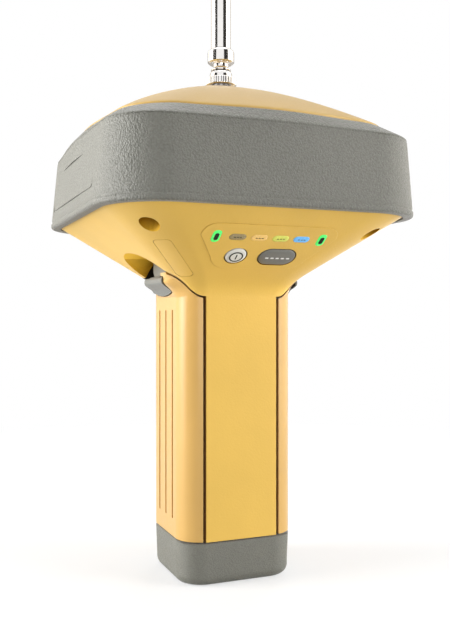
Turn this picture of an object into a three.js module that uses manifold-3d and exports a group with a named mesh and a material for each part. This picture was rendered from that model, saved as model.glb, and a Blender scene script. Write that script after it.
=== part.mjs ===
// Handheld satellite positioning receiver on a pole-mount handle.
// Millimetres, +Z up, origin at the bottom centre of the base, front face looking to -Y.
import * as THREE from 'three';
import { mergeVertices } from 'three/addons/utils/BufferGeometryUtils.js';
import Module from 'manifold-3d';

const wasm = await Module();
wasm.setup();

// Fits
const FIT = 0.3;                    // gap between pieces that touch
const GROOVE = 1.5;                 // dark groove between battery and front flange
const OVERRUN = 4;                  // how far every cutter runs past what it cuts
const SLIDE_FIT = 0.5;              // gap of the battery in its bay
const SEAM_FIT = 1;                 // gap under the head's seam

// Handle
const HANDLE_WIDTH = 60;
const HANDLE_DEPTH = 55;
const HANDLE_CORNER = 12.6;
const FLANGE_WIDTH = 38.8;          // front and rear flange of the spine
const FLANGE_WALL = 4.2;
const WEB_WALL = 14;
const SPINE_TOP = 139.4;            // where the flange flows into the head

// Head
const FUNNEL_FOOT = 146;            // height of the sloping faces' reference line
const FUNNEL_FOOT_WIDTH = 59.1;
const FUNNEL_SLOPE_SHARE = 1.4;     // half width gained for each height
const FUNNEL_FILLET = 5.3;          // half height of the fillet into the handle
const BUMPER_WIDTH = 158.1;
const BUMPER_WALL = 5.05;
const RIM_WIDTH = BUMPER_WIDTH - BUMPER_WALL * 2;
const RIM_CORNER = 27.6;
const RIM_TOP = 204;
const HEAD_WALL = 3;
const CAVITY_FLOOR = 166.5;
const BOSS_RADIUS = 6.2;
const STANDOFF_RADIUS = 3;
const STANDOFF_SPOT = 36;
const STANDOFF_HEIGHT = 5;

// Bumper ring: its sides bulge, so each outline has a bow share that draws its corners in
const BUMPER_CORNER = 32.4;
const BUMPER_FOOT = 175.2;
const BUMPER_CREASE = 213.8;
const BUMPER_CREASE_INSET = 1.65;   // how far the crease lies inside the widest outline
const BUMPER_CREASE_CORNER = 25.8;
const BUMPER_CREASE_BOW_SHARE = 0.034;
const BUMPER_TOP = 220.2;
const BUMPER_TOP_INSET = 7.85;
const BUMPER_TOP_CORNER = 25.3;
const BUMPER_TOP_BOW_SHARE = 0.08;
const BUMPER_EDGE = 1.3;            // rounding of the lower edge
const BUMPER_BEAD = 3;              // height of the bead line above the lower edge
const BUMPER_BEAD_DEPTH = 0.5;
const BUMPER_LIP = 1.6;             // thickness where it laps over the radome

// Radome
const RADOME_RISE = 26;
const RADOME_WALL = 2.6;
const RADOME_SHOULDER = 211.5;
const RADOME_SWEEP_SHARE = 1.8;     // power of the crown's curve
const RADOME_OUTER_STEPS = 6;
const RADOME_INNER_STEPS = 3;
const JACK_HOLE_RADIUS = 4.1;

// Base cap and pole socket
const BASE_HEIGHT = 20.9;
const BASE_DRAFT = 0.5;
const BASE_EDGE = 4.5;
const BASE_EDGE_SHARES = [0, 0.13, 0.5, 1];
const BASE_EDGE_PULL_SHARE = 0.6;   // how far the edge draws in for its height
const INSERT_RADIUS = 12.5;
const INSERT_BORE_RADIUS = 7.6;
const INSERT_FLANGE_RADIUS = 16;
const INSERT_FLANGE_WALL = 2.5;
const THREAD_DEPTH = 0.7;
const THREAD_TURNS = 5;

// Battery packs
const CORE_DEPTH = 46;
const CORE_TOP_DROP = 5;
const BATTERY_GROOVE_PITCH = 10.2;
const BATTERY_GROOVE_WIDTH = 2.4;
const BATTERY_GROOVE_DEPTH = 0.9;
const BATTERY_GROOVE_FOOT = 30;
const BATTERY_GROOVE_TOP = 133;
const BATTERY_GROOVES = 3;
const TERMINAL_WIDTH = 18;
const TERMINAL_HEIGHT = 9;
const TERMINAL_RISE = 34;
const TERMINAL_DEPTH = 1.6;

// Seam between battery and head: run outwards from the flange edge, rise above the spine top
const SEAM_RUN = 15.5;
const SEAM_RISE = 10.4;
const SEAM_SHARES = [[0, 0], [0.22, 0.07], [0.42, 0.28], [0.6, 0.55], [0.78, 0.78], [1, 1], [1.9, 1.75]];

// Finger pocket over each latch
const POCKET_WIDTH = 41;
const POCKET_TOP = 161;
const POCKET_FLOOR = 28.2;          // distance of its inner wall from the handle axis
const POCKET_RADIUS = 10;

// Boss on each battery that holds its latch
const BOSS_WIDTH = 39;
const BOSS_DROP = 1.5;              // how far its foot starts below the latch
const BOSS_TOP = 149.2;
const BOSS_INSET = 0.8;             // how far its face lies behind the latch's

// Latch: a wide paddle below, its face given as shares of its reach and of its nose's rise
const PADDLE_SHARES = [[0, 0], [0.2, 0.2], [0.5, 0.5], [0.88, 0.84], [1, 1]];
const LATCH_FOOT = 140;
const LATCH_TIP_RISE = 1.7;         // how far the ends of its lower edge turn up
const LATCH_WIDTH = 29;
const LATCH_NOSE_RISE = 8;
const LATCH_LEDGE_RISE = 1;         // from the nose to the top of the paddle
const LATCH_WAIST_WIDTH = 16;
const LATCH_ARM_WIDTH = 21;
const LATCH_ARM_RISE = 3.4;         // from the paddle's top to the full width of the arm
const LATCH_ARM_LENGTH = 5.6;
const LATCH_BACK = 28.9;            // distance of its back from the handle axis
const LATCH_FOOT_FACE = 31.2;
const LATCH_ARM_FACE = 34.8;
const LATCH_ARM_WALL = 2.4;
const LATCH_NOSE = 37;
const LATCH_POCKET_DEPTH = 1.3;
const LATCH_FIT = 0.6;
const PIN_RADIUS = 1;
const PIN_RISE = 4.2;
const PIN_SPOT = 31;
const PIN_LENGTH = 34;

// Keypad panel on the front slope, measured up the slope from its foot
const PANEL_FOOT = 11.2;
const PANEL_TOP = 42.1;
const PANEL_WIDTH = 66;
const PANEL_FOOT_WIDTH = 44;
const PANEL_CORNER = 8;
const PANEL_PROUD = 0.5;
const PANEL_WALL = 1.5;
const KEYPAD_DEPTH = 6;
const KEYPAD_WALL = 1.4;
const KEYPAD_INSET = 3;
const LAMP_RISE = 33.6;
const BATTERY_LAMP_SPOT = 26.3;
const BATTERY_LAMP_WIDTH = 4.5;
const BATTERY_LAMP_LENGTH = 8.8;
const STATUS_LAMP_PITCH = 10.67;
const STATUS_LAMP_WIDTH = 8.8;
const STATUS_LAMP_HEIGHT = 4.7;
const LAMP_PROUD = 0.3;
const KEY_RISE = 20.5;
const POWER_KEY_SPOT = -12.5;
const POWER_KEY_WIDTH = 10.5;
const FUNCTION_KEY_SPOT = 8.5;
const FUNCTION_KEY_WIDTH = 19;
const FUNCTION_KEY_HEIGHT = 11.6;
const KEY_PROUD = 1.1;
const KEY_DEPTH = 3.2;
const KEY_CROWN = 0.5;

// Corner screws and the radio window
const SCREW_INSET = 18;             // from the rim to a screw's axis
const SCREW_SPOT = RIM_WIDTH / 2 - SCREW_INSET;
const SCREW_RECESS_RADIUS = 5;
const SCREW_SEAT = 177;
const SCREW_HEAD_RADIUS = 4;
const SCREW_HEAD_HEIGHT = 3.6;
const SCREW_SHANK_RADIUS = 1.8;
const SCREW_SHANK_LENGTH = 14;
const SCREW_SOCKET_RADIUS = 1.9;
const SCREW_SOCKET_DEPTH = 2.2;
const SCREW_RECESS_DEPTH = 70;      // longer than the funnel is high over the recess
const WINDOW_WIDTH = 9.2;
const WINDOW_FOOT = 148.6;
const WINDOW_TOP = 163.6;
const WINDOW_CORNER = 2.4;
const WINDOW_DEPTH = 2.2;

// Ports on the rear slope
const PORT_RISE = 26;
const PORT_PITCH = 24;
const PORT_FLANGE_RADIUS = 8;
const PORT_RADIUS = 6.2;
const PORT_BORE_RADIUS = 4.4;
const PORT_DEPTH = 8;
const PORT_BORE_DEPTH = 5;
const PORT_PROUD = 1.2;
const PORT_FLANGE_WALL = 1.4;
const PORT_CORE_RADIUS = 1.8;
const PORT_CORE_LENGTH = 3.2;
const USB_WIDTH = 13;
const USB_HEIGHT = 8;
const USB_SLOT_WIDTH = 9;
const USB_SLOT_HEIGHT = 4.6;
const USB_CORNER = 1.6;

// Boards inside the head
const GROUND_PLANE_INSET = 10;
const GROUND_PLANE_WIDTH = RIM_WIDTH - GROUND_PLANE_INSET * 2;
const GROUND_PLANE_CORNER = 26;
const BOARD_WALL = 1.6;
const MAIN_BOARD_WIDTH = 88;
const MAIN_BOARD_CORNER = 6;
const LOWER_PATCH_RADIUS = 42;
const LOWER_PATCH_WALL = 7;
const UPPER_PATCH_RADIUS = 31;
const UPPER_PATCH_WALL = 6;
const FEED_RADIUS = 3.1;
const SHIELD_WIDTH = 42;
const SHIELD_HEIGHT = 6;
const MODULE_WIDTH = 34;
const MODULE_DEPTH = 46;
const MODULE_HEIGHT = 6;
const MODULE_SPOT = 20;
const MODULE_CORNER = 2;

// Antenna on the crown
const JACK_FLANGE_RADIUS = 6.9;
const JACK_LAND = 0.8;              // flat land of the crown around the jack's flange
const JACK_RADIUS = 3.8;
const JACK_DROP = 9;
const JACK_RISE = 6.4;
const NUT_GAP = 3.5;                // from the crown to the nut
const NUT_RADIUS = 8.2;
const NUT_HEIGHT = 4.4;
const NUT_SHOULDER_RADIUS = 6.2;
const NUT_SHOULDER = 2.4;
const NUT_KNURLS = 18;
const NUT_KNURL_SHARE = 0.95;
const WHIP_NECK_RADIUS = 5.1;
const WHIP_NECK = 5.2;
const WHIP_COLLAR_RADIUS = 6.9;
const WHIP_COLLAR = 6.8;
const WHIP_CHAMFER = 0.7;
const WHIP_RADIUS = 5.1;
const WHIP_LENGTH = 118;
const WHIP_TIP = 12;
const WHIP_TIP_SHARES = [[1, 0.5], [0.85, 0.8], [0.5, 0.96]];

// Fineness
const CORNER_STEPS = 6;
const SIDE_STEPS = 4;
const FILLET_STEPS = 6;
const PILL_STEPS = 4;
const ROUND_STEPS = 24;
const SMALL_STEPS = 16;

const YELLOW = { color: 0xe0b850, roughness: 0.55, metalness: 0 };
const YELLOW_GLOSS = { color: 0xf0be5f, roughness: 0.3, metalness: 0 };
const GREY_RUBBER = { color: 0x78796f, roughness: 0.85, metalness: 0 };
const GREY_PLASTIC = { color: 0x96988f, roughness: 0.5, metalness: 0 };
const DARK_PLASTIC = { color: 0x2a2a2a, roughness: 0.6, metalness: 0 };
const STEEL = { color: 0xb8b8bc, roughness: 0.35, metalness: 1 };
const CHROME = { color: 0xd8d8dc, roughness: 0.12, metalness: 1 };
const BRASS = { color: 0xc8a850, roughness: 0.35, metalness: 1 };
const BOARD_GREEN = { color: 0x1d5a34, roughness: 0.5, metalness: 0 };
const CERAMIC = { color: 0xd8d0c0, roughness: 0.6, metalness: 0 };
const SHEET = { color: 0xc0c4c8, roughness: 0.3, metalness: 1 };
const KEY_LIGHT = { color: 0xc9c8be, roughness: 0.5, metalness: 0 };
const KEY_DARK = { color: 0x706f68, roughness: 0.5, metalness: 0 };
const LAMP_GREEN = { color: 0x50e36a, roughness: 0.25, metalness: 0 };
const LAMP_BROWN = { color: 0x9c8468, roughness: 0.3, metalness: 0 };
const LAMP_TAN = { color: 0xe8b870, roughness: 0.3, metalness: 0 };
const LAMP_LIME = { color: 0xeaf07a, roughness: 0.3, metalness: 0 };
const LAMP_BLUE = { color: 0x6bb5f0, roughness: 0.3, metalness: 0 };

const root = new THREE.Group();

function toSolid(geometry) {
  const bare = geometry.clone();
  bare.deleteAttribute('normal');
  bare.deleteAttribute('uv');
  const merged = mergeVertices(bare);
  const position = merged.attributes.position;
  const index = Array.from(merged.index.array);
  const faces = [];
  for (let i = 0; i < index.length; i += 3) {
    const [a, b, c] = index.slice(i, i + 3);
    if (a !== b && b !== c && a !== c) faces.push(a, b, c);
  }
  if (signedVolume(position, faces) < 0) faces.reverse();
  return new wasm.Manifold(new wasm.Mesh({
    numProp: 3,
    vertProperties: new Float32Array(position.array),
    triVerts: new Uint32Array(faces),
  }));
}

function signedVolume(position, faces) {
  const corner = [new THREE.Vector3(), new THREE.Vector3(), new THREE.Vector3()];
  let total = 0;
  for (let i = 0; i < faces.length; i += 3) {
    corner.forEach((point, k) => point.fromBufferAttribute(position, faces[i + k]));
    total += corner[0].dot(corner[1].clone().cross(corner[2]));
  }
  return total;
}

function toGeometry(solid) {
  const mesh = solid.getMesh();
  const geometry = new THREE.BufferGeometry();
  geometry.setAttribute('position', new THREE.BufferAttribute(mesh.vertProperties, 3));
  geometry.setIndex(new THREE.BufferAttribute(mesh.triVerts, 1));
  return geometry;
}

function add(name, solid, look, parent = root) {
  const geometry = toGeometry(solid);
  geometry.computeVertexNormals();
  const mesh = new THREE.Mesh(geometry, new THREE.MeshStandardMaterial(look));
  mesh.name = name;
  parent.add(mesh);
  return mesh;
}

function roundedOutline(halfX, halfY, corner, steps = CORNER_STEPS) {
  const points = [];
  const centres = [[1, 1], [-1, 1], [-1, -1], [1, -1]];
  centres.forEach(([signX, signY], quarter) => {
    for (let step = 0; step <= steps; step += 1) {
      const angle = (quarter + step / steps) * Math.PI / 2;
      const x = signX * (halfX - corner) + corner * Math.cos(angle);
      const y = signY * (halfY - corner) + corner * Math.sin(angle);
      points.push(new THREE.Vector2(x, y));
    }
  });
  return points;
}

// Outline with bulging sides: points along the sides stay, and the corners are drawn in by the bow.
function bowedOutline(half, corner, bow) {
  const points = [];
  roundedOutline(half, half, corner).forEach((point, i, all) => {
    points.push(point);
    if (i % (CORNER_STEPS + 1) !== CORNER_STEPS) return;
    const next = all[(i + 1) % all.length];
    for (let step = 1; step < SIDE_STEPS; step += 1) points.push(point.clone().lerp(next, step / SIDE_STEPS));
  });
  return points.map((point) => {
    const turn = Math.sin(2 * point.angle());
    return point.multiplyScalar(1 - bow * turn * turn);
  });
}

// Skins a stack of rounded rectangles, each { z, halfX, halfY, corner }, and closes both ends.
function loft(sections) {
  return skinned(sections, sections.map((s) => roundedOutline(s.halfX, s.halfY, s.corner)));
}

// Skins a stack of bowed squares, each { z, half, corner, bow }.
function bowedLoft(sections) {
  return skinned(sections, sections.map((s) => bowedOutline(s.half, s.corner, s.bow)));
}

function skinned(sections, rings) {
  const count = rings[0].length;
  const positions = [];
  rings.forEach((ring, level) => {
    ring.forEach((point) => positions.push(point.x, point.y, sections[level].z));
  });
  const faces = [];
  for (let level = 0; level + 1 < rings.length; level += 1) {
    for (let i = 0; i < count; i += 1) {
      const a = level * count + i;
      const b = level * count + (i + 1) % count;
      faces.push(a, b, b + count, a, b + count, a + count);
    }
  }
  [0, rings.length - 1].forEach((level) => {
    const centre = positions.length / 3;
    positions.push(0, 0, sections[level].z);
    for (let i = 0; i < count; i += 1) {
      const a = level * count + i;
      const b = level * count + (i + 1) % count;
      faces.push(...(level === 0 ? [centre, b, a] : [centre, a, b]));
    }
  });
  const geometry = new THREE.BufferGeometry();
  geometry.setAttribute('position', new THREE.Float32BufferAttribute(positions, 3));
  geometry.setIndex(faces);
  return toSolid(geometry);
}

// Turns a closed profile of [radius, height] pairs about the Z axis.
function turned(profile, steps = ROUND_STEPS) {
  const points = profile.map(([radius, height]) => new THREE.Vector2(radius, height));
  const geometry = new THREE.LatheGeometry(points, steps);
  geometry.rotateX(Math.PI / 2);
  return toSolid(geometry);
}

function disc(radius, low, high, steps = ROUND_STEPS) {
  return turned([[0, low], [radius, low], [radius, high], [0, high]], steps);
}

// Extrudes a THREE.Shape upwards from low to high.
function raised(shape, low, high) {
  const geometry = new THREE.ExtrudeGeometry(shape, {
    depth: high - low, bevelEnabled: false, curveSegments: CORNER_STEPS,
  });
  geometry.translate(0, 0, low);
  return geometry;
}

function roundedShape(width, height, corner, steps) {
  return new THREE.Shape(roundedOutline(width / 2, height / 2, corner, steps));
}

function slab(width, depth, corner, low, high) {
  return raised(roundedShape(width, depth, corner), low, high);
}

// Extrudes an outline of [x, z] points along Y, from -half to +half.
function alongDepth(points, half) {
  const shape = new THREE.Shape(points.map(([x, z]) => new THREE.Vector2(x, z)));
  const geometry = new THREE.ExtrudeGeometry(shape, { depth: half * 2, bevelEnabled: false });
  geometry.rotateX(Math.PI / 2);
  geometry.translate(0, half, 0);
  return toSolid(geometry);
}

// Extrudes an outline of [y, z] points along X, from near to far.
function alongWidth(shape, near, far) {
  const geometry = new THREE.ExtrudeGeometry(shape, {
    depth: far - near, bevelEnabled: false, curveSegments: CORNER_STEPS,
  });
  geometry.applyMatrix4(new THREE.Matrix4().makeBasis(
    new THREE.Vector3(0, 1, 0), new THREE.Vector3(0, 0, 1), new THREE.Vector3(1, 0, 0)));
  geometry.translate(near, 0, 0);
  return toSolid(geometry);
}

function moved(geometry, x, y, z) {
  const copy = geometry.clone();
  copy.translate(x, y, z);
  return copy;
}

// The head and the spine share one outer skin: half width at a height.
function flare(z, handleHalf) {
  const meet = FUNNEL_FOOT + (handleHalf - FUNNEL_FOOT_WIDTH / 2) / FUNNEL_SLOPE_SHARE;
  if (z <= meet - FUNNEL_FILLET) return handleHalf;
  if (z < meet + FUNNEL_FILLET) {
    const share = (z - meet + FUNNEL_FILLET) / (2 * FUNNEL_FILLET);
    return handleHalf + FUNNEL_SLOPE_SHARE * FUNNEL_FILLET * share * share;
  }
  return Math.min(FUNNEL_FOOT_WIDTH / 2 + FUNNEL_SLOPE_SHARE * (z - FUNNEL_FOOT), RIM_WIDTH / 2);
}

function skinAt(z) {
  const halfX = flare(z, HANDLE_WIDTH / 2);
  const halfY = flare(z, HANDLE_DEPTH / 2);
  const spread = (halfX - HANDLE_WIDTH / 2) / (RIM_WIDTH / 2 - HANDLE_WIDTH / 2);
  return { z, halfX, halfY, corner: HANDLE_CORNER + (RIM_CORNER - HANDLE_CORNER) * spread };
}

function rimFoot() {
  return FUNNEL_FOOT + (RIM_WIDTH - FUNNEL_FOOT_WIDTH) / 2 / FUNNEL_SLOPE_SHARE;
}

function outerSkin(low, high) {
  const levels = [low];
  const fillet = FUNNEL_FILLET * 2 + (HANDLE_WIDTH - HANDLE_DEPTH) / 2;
  const start = FUNNEL_FOOT - FUNNEL_FILLET - (HANDLE_WIDTH - HANDLE_DEPTH) / 2;
  for (let step = 0; step <= FILLET_STEPS; step += 1) {
    levels.push(start + fillet * step / FILLET_STEPS);
  }
  levels.push(rimFoot());
  const kept = levels.filter((z) => z >= low && z < high);
  kept.push(high);
  return loft(kept.map(skinAt));
}

const skin = outerSkin(BASE_HEIGHT + FIT, RIM_TOP);

function seamLine(drop) {
  return SEAM_SHARES.map(([run, rise]) => [
    -(FLANGE_WIDTH / 2 + run * SEAM_RUN),
    SPINE_TOP + rise * SEAM_RISE - drop,
  ]);
}

// The room left of the flange edge and under the seam; drop and inset shrink it to the battery.
function sideRoom(inset, drop, foot) {
  const line = seamLine(drop);
  const edge = -(FLANGE_WIDTH / 2 + inset);
  const outer = line[line.length - 1][0];
  const outline = [[edge, foot], [edge, line[0][1]], ...line.filter(([x]) => x < edge), [outer, foot]];
  return alongDepth(outline, RIM_WIDTH / 2);
}

function coreRoom(inset, foot, top) {
  const depth = HANDLE_DEPTH - FLANGE_WALL * 2 - inset * 2;
  const near = -(WEB_WALL / 2 + inset);
  const far = -(FLANGE_WIDTH / 2 + OVERRUN);
  const outline = [[near, foot], [far, foot], [far, top], [near, top]];
  return alongDepth(outline, depth / 2);
}

function mirrored(solid) {
  return solid.mirror([1, 0, 0]);
}

function pocketCut() {
  const half = POCKET_WIDTH / 2;
  const shape = new THREE.Shape();
  shape.moveTo(-half, SPINE_TOP);
  shape.lineTo(half, SPINE_TOP);
  shape.lineTo(half, POCKET_TOP - POCKET_RADIUS);
  shape.quadraticCurveTo(half, POCKET_TOP - FIT, half - POCKET_RADIUS * 2, POCKET_TOP);
  shape.quadraticCurveTo(-half, POCKET_TOP - FIT, -half, POCKET_TOP - POCKET_RADIUS);
  return alongWidth(shape, -RIM_WIDTH / 2, -POCKET_FLOOR);
}

// Frame on a sloping face: x across, y up the slope, z out of the face.
function slopeFrame(turn) {
  const length = Math.hypot(1, FUNNEL_SLOPE_SHARE);
  const across = new THREE.Vector3(1, 0, 0);
  const up = new THREE.Vector3(0, -FUNNEL_SLOPE_SHARE / length, 1 / length);
  const out = new THREE.Vector3().crossVectors(across, up);
  const frame = new THREE.Matrix4().makeBasis(across, up, out);
  frame.setPosition(0, -FUNNEL_FOOT_WIDTH / 2, FUNNEL_FOOT);
  return new THREE.Matrix4().makeRotationZ(turn).multiply(frame);
}

const FRONT = slopeFrame(0);
const REAR = slopeFrame(Math.PI);

function onSlope(frame, geometry) {
  const copy = geometry.clone();
  copy.applyMatrix4(frame);
  return toSolid(copy);
}

function panelShape(grow) {
  const top = PANEL_TOP + grow;
  const foot = PANEL_FOOT - grow;
  const wide = PANEL_WIDTH / 2 + grow;
  const narrow = PANEL_FOOT_WIDTH / 2 + grow;
  const round = PANEL_CORNER;
  const shape = new THREE.Shape();
  shape.moveTo(-narrow + round, foot);
  shape.lineTo(narrow - round, foot);
  shape.quadraticCurveTo(narrow, foot, narrow + round / 3, foot + round);
  shape.lineTo(wide, top - round);
  shape.quadraticCurveTo(wide, top, wide - round, top);
  shape.lineTo(-wide + round, top);
  shape.quadraticCurveTo(-wide, top, -wide, top - round);
  shape.lineTo(-narrow - round / 3, foot + round);
  shape.quadraticCurveTo(-narrow, foot, -narrow + round, foot);
  return shape;
}

function lampSpots() {
  const spots = [-1, 1].map((side) => ({
    x: side * BATTERY_LAMP_SPOT, width: BATTERY_LAMP_WIDTH, height: BATTERY_LAMP_LENGTH,
  }));
  for (let i = 0; i < 4; i += 1) {
    spots.push({
      x: (i - 1.5) * STATUS_LAMP_PITCH, width: STATUS_LAMP_WIDTH, height: STATUS_LAMP_HEIGHT,
    });
  }
  return spots;
}

function lampForm(spot, grow, low, high) {
  const width = spot.width + grow * 2;
  const height = spot.height + grow * 2;
  const shape = roundedShape(width, height, Math.min(width, height) / 2, PILL_STEPS);
  return moved(raised(shape, low, high), spot.x, LAMP_RISE, 0);
}

function keySpots() {
  return [
    { x: POWER_KEY_SPOT, width: POWER_KEY_WIDTH, height: POWER_KEY_WIDTH },
    { x: FUNCTION_KEY_SPOT, width: FUNCTION_KEY_WIDTH, height: FUNCTION_KEY_HEIGHT },
  ];
}

function keyForm(spot, grow, low, high) {
  const width = spot.width + grow * 2;
  const height = spot.height + grow * 2;
  return moved(raised(roundedShape(width, height, height / 2, PILL_STEPS), low, high), spot.x, KEY_RISE, 0);
}

function cornerPoint(z) {
  const at = skinAt(z);
  const inset = at.corner * (1 - Math.SQRT1_2);
  return new THREE.Vector3(-(at.halfX - inset), -(at.halfY - inset), z);
}

// Frame on the front left corner, its y running up the corner line and z out of the skin.
function windowFrame() {
  const low = cornerPoint(WINDOW_FOOT);
  const high = cornerPoint(WINDOW_TOP);
  const up = high.clone().sub(low).normalize();
  const across = new THREE.Vector3(1, -1, 0).normalize();
  const out = new THREE.Vector3().crossVectors(across, up);
  const frame = new THREE.Matrix4().makeBasis(across, up, out);
  frame.setPosition(low.clone().add(high).multiplyScalar(1 / 2));
  return { frame, length: high.distanceTo(low) };
}

function windowForm(shrink, depth) {
  const { frame, length } = windowFrame();
  const form = slab(WINDOW_WIDTH - shrink * 2, length - shrink * 2, WINDOW_CORNER, -depth, OVERRUN);
  return onSlope(frame, form);
}

function cavity() {
  const inset = HEAD_WALL * Math.hypot(1, FUNNEL_SLOPE_SHARE);
  const half = (z) => Math.min(
    FUNNEL_FOOT_WIDTH / 2 + FUNNEL_SLOPE_SHARE * (z - FUNNEL_FOOT) - inset, RIM_WIDTH / 2 - HEAD_WALL);
  const bend = rimFoot() + (inset - HEAD_WALL) / FUNNEL_SLOPE_SHARE;
  const room = loft([CAVITY_FLOOR, bend, RIM_TOP + OVERRUN].map((z) => ({
    z, halfX: half(z), halfY: half(z), corner: RIM_CORNER - HEAD_WALL,
  })));
  const posts = [];
  corners(SCREW_SPOT).forEach(([x, y]) => {
    posts.push(disc(BOSS_RADIUS, CAVITY_FLOOR - OVERRUN, RIM_TOP - FIT, SMALL_STEPS).translate([x, y, 0]));
  });
  corners(STANDOFF_SPOT).forEach(([x, y]) => {
    const top = CAVITY_FLOOR + STANDOFF_HEIGHT;
    posts.push(disc(STANDOFF_RADIUS, CAVITY_FLOOR - OVERRUN, top, SMALL_STEPS).translate([x, y, 0]));
  });
  return posts.reduce((rest, post) => rest.subtract(post), room);
}

function corners(spot) {
  return [[-spot, -spot], [spot, -spot], [spot, spot], [-spot, spot]];
}

// Room of one screw about its seat: the shank's hole above it and the open recess below.
function screwCut() {
  const shank = SCREW_SHANK_RADIUS + FIT;
  const depth = SCREW_SHANK_LENGTH + FIT;
  return turned([
    [0, depth], [shank, depth], [shank, 0], [SCREW_RECESS_RADIUS, 0],
    [SCREW_RECESS_RADIUS, -SCREW_RECESS_DEPTH], [0, -SCREW_RECESS_DEPTH],
  ], SMALL_STEPS);
}

function portSpots() {
  return [-PORT_PITCH, 0, PORT_PITCH];
}

function mainHousing() {
  const foot = BASE_HEIGHT - OVERRUN;
  let body = skin;
  const bay = sideRoom(0, 0, foot).add(coreRoom(0, foot, SPINE_TOP));
  const side = bay.add(pocketCut());
  body = body.subtract(side).subtract(mirrored(side));
  body = body.subtract(cavity());
  corners(SCREW_SPOT).forEach(([x, y]) => {
    body = body.subtract(screwCut().translate([x, y, SCREW_SEAT]));
  });
  body = body.subtract(windowForm(0, WINDOW_DEPTH + FIT));
  body = body.subtract(onSlope(FRONT, raised(panelShape(FIT), -PANEL_WALL - FIT, OVERRUN)));
  body = body.subtract(onSlope(FRONT, raised(panelShape(-KEYPAD_INSET + FIT), -KEYPAD_DEPTH, 0)));
  portSpots().forEach((x, i) => {
    const hole = i === 2
      ? slab(USB_WIDTH + FIT * 2, USB_HEIGHT + FIT * 2, USB_CORNER, -PORT_DEPTH - FIT, OVERRUN)
      : raised(roundedShape(PORT_RADIUS * 2 + FIT * 2, PORT_RADIUS * 2 + FIT * 2, PORT_RADIUS + FIT),
        -PORT_DEPTH - FIT, OVERRUN);
    body = body.subtract(onSlope(REAR, moved(hole, x, PORT_RISE, 0)));
  });
  body = body.subtract(contactCut()).subtract(mirrored(contactCut()));
  add('main_housing', body, YELLOW);
}

function plainRing(z, half) {
  return { z, half, corner: BUMPER_CORNER - (BUMPER_WIDTH / 2 - half), bow: 0 };
}

function creaseRing(z, inset) {
  const half = BUMPER_WIDTH / 2 - BUMPER_CREASE_INSET - inset;
  return { z, half, corner: BUMPER_CREASE_CORNER - inset, bow: BUMPER_CREASE_BOW_SHARE };
}

function topRing(z, inset) {
  const half = BUMPER_WIDTH / 2 - BUMPER_TOP_INSET - inset;
  return { z, half, corner: BUMPER_TOP_CORNER - inset, bow: BUMPER_TOP_BOW_SHARE };
}

function bumperRing() {
  const wide = BUMPER_WIDTH / 2;
  const bead = BUMPER_FOOT + BUMPER_BEAD;
  const outer = bowedLoft([
    plainRing(BUMPER_FOOT, wide - BUMPER_EDGE),
    plainRing(BUMPER_FOOT + BUMPER_EDGE / 3, wide - BUMPER_EDGE / 4),
    plainRing(BUMPER_FOOT + BUMPER_EDGE, wide),
    plainRing(bead - BUMPER_BEAD_DEPTH, wide),
    plainRing(bead, wide - BUMPER_BEAD_DEPTH),
    creaseRing(BUMPER_CREASE, 0),
    creaseRing(BUMPER_CREASE + BUMPER_EDGE / 2, BUMPER_EDGE),
    topRing(BUMPER_TOP, 0),
  ]);
  const rim = RIM_WIDTH / 2 + FIT;
  const inner = bowedLoft([
    plainRing(BUMPER_FOOT - OVERRUN, rim),
    plainRing(RADOME_SHOULDER, rim),
    plainRing(BUMPER_CREASE, rim - BUMPER_LIP),
    topRing(BUMPER_TOP - BUMPER_LIP, -FIT),
    topRing(BUMPER_TOP + OVERRUN, -FIT),
  ]);
  add('bumper_ring', outer.subtract(inner), GREY_RUBBER);
}

// Rings of the crown, from its foot to the flat land: they turn round and lose their bow as they shrink.
function crownRings(foot, inset, steps) {
  const edge = topRing(foot, inset);
  const land = JACK_FLANGE_RADIUS + JACK_LAND;
  const rings = [];
  for (let step = 0; step <= steps; step += 1) {
    const half = edge.half + (land - edge.half) * step / steps;
    const share = half / edge.half;
    rings.push({
      z: foot + RADOME_RISE * (1 - (step === steps ? 0 : share ** RADOME_SWEEP_SHARE)),
      half,
      corner: half - (edge.half - edge.corner) * share * share,
      bow: edge.bow * share,
    });
  }
  return rings;
}

function crownTop() {
  return BUMPER_TOP + RADOME_RISE;
}

function radome() {
  const rim = RIM_WIDTH / 2 - FIT;
  const outer = bowedLoft([
    plainRing(RIM_TOP + FIT, rim),
    plainRing(RADOME_SHOULDER - FIT, rim),
    plainRing(BUMPER_CREASE - FIT, rim - BUMPER_LIP),
    topRing(BUMPER_TOP - BUMPER_LIP - FIT, FIT),
    ...crownRings(BUMPER_TOP, FIT, RADOME_OUTER_STEPS),
  ]);
  const inner = bowedLoft([
    plainRing(RIM_TOP - OVERRUN, rim - RADOME_WALL),
    plainRing(RADOME_SHOULDER - RADOME_WALL, rim - RADOME_WALL),
    topRing(BUMPER_TOP - BUMPER_LIP - RADOME_WALL, FIT + RADOME_WALL),
    ...crownRings(BUMPER_TOP - RADOME_WALL, FIT + RADOME_WALL, RADOME_INNER_STEPS),
  ]);
  const hole = disc(JACK_HOLE_RADIUS, RADOME_SHOULDER, crownTop() + OVERRUN, SMALL_STEPS);
  add('radome', outer.subtract(inner).subtract(hole), YELLOW);
}

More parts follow.
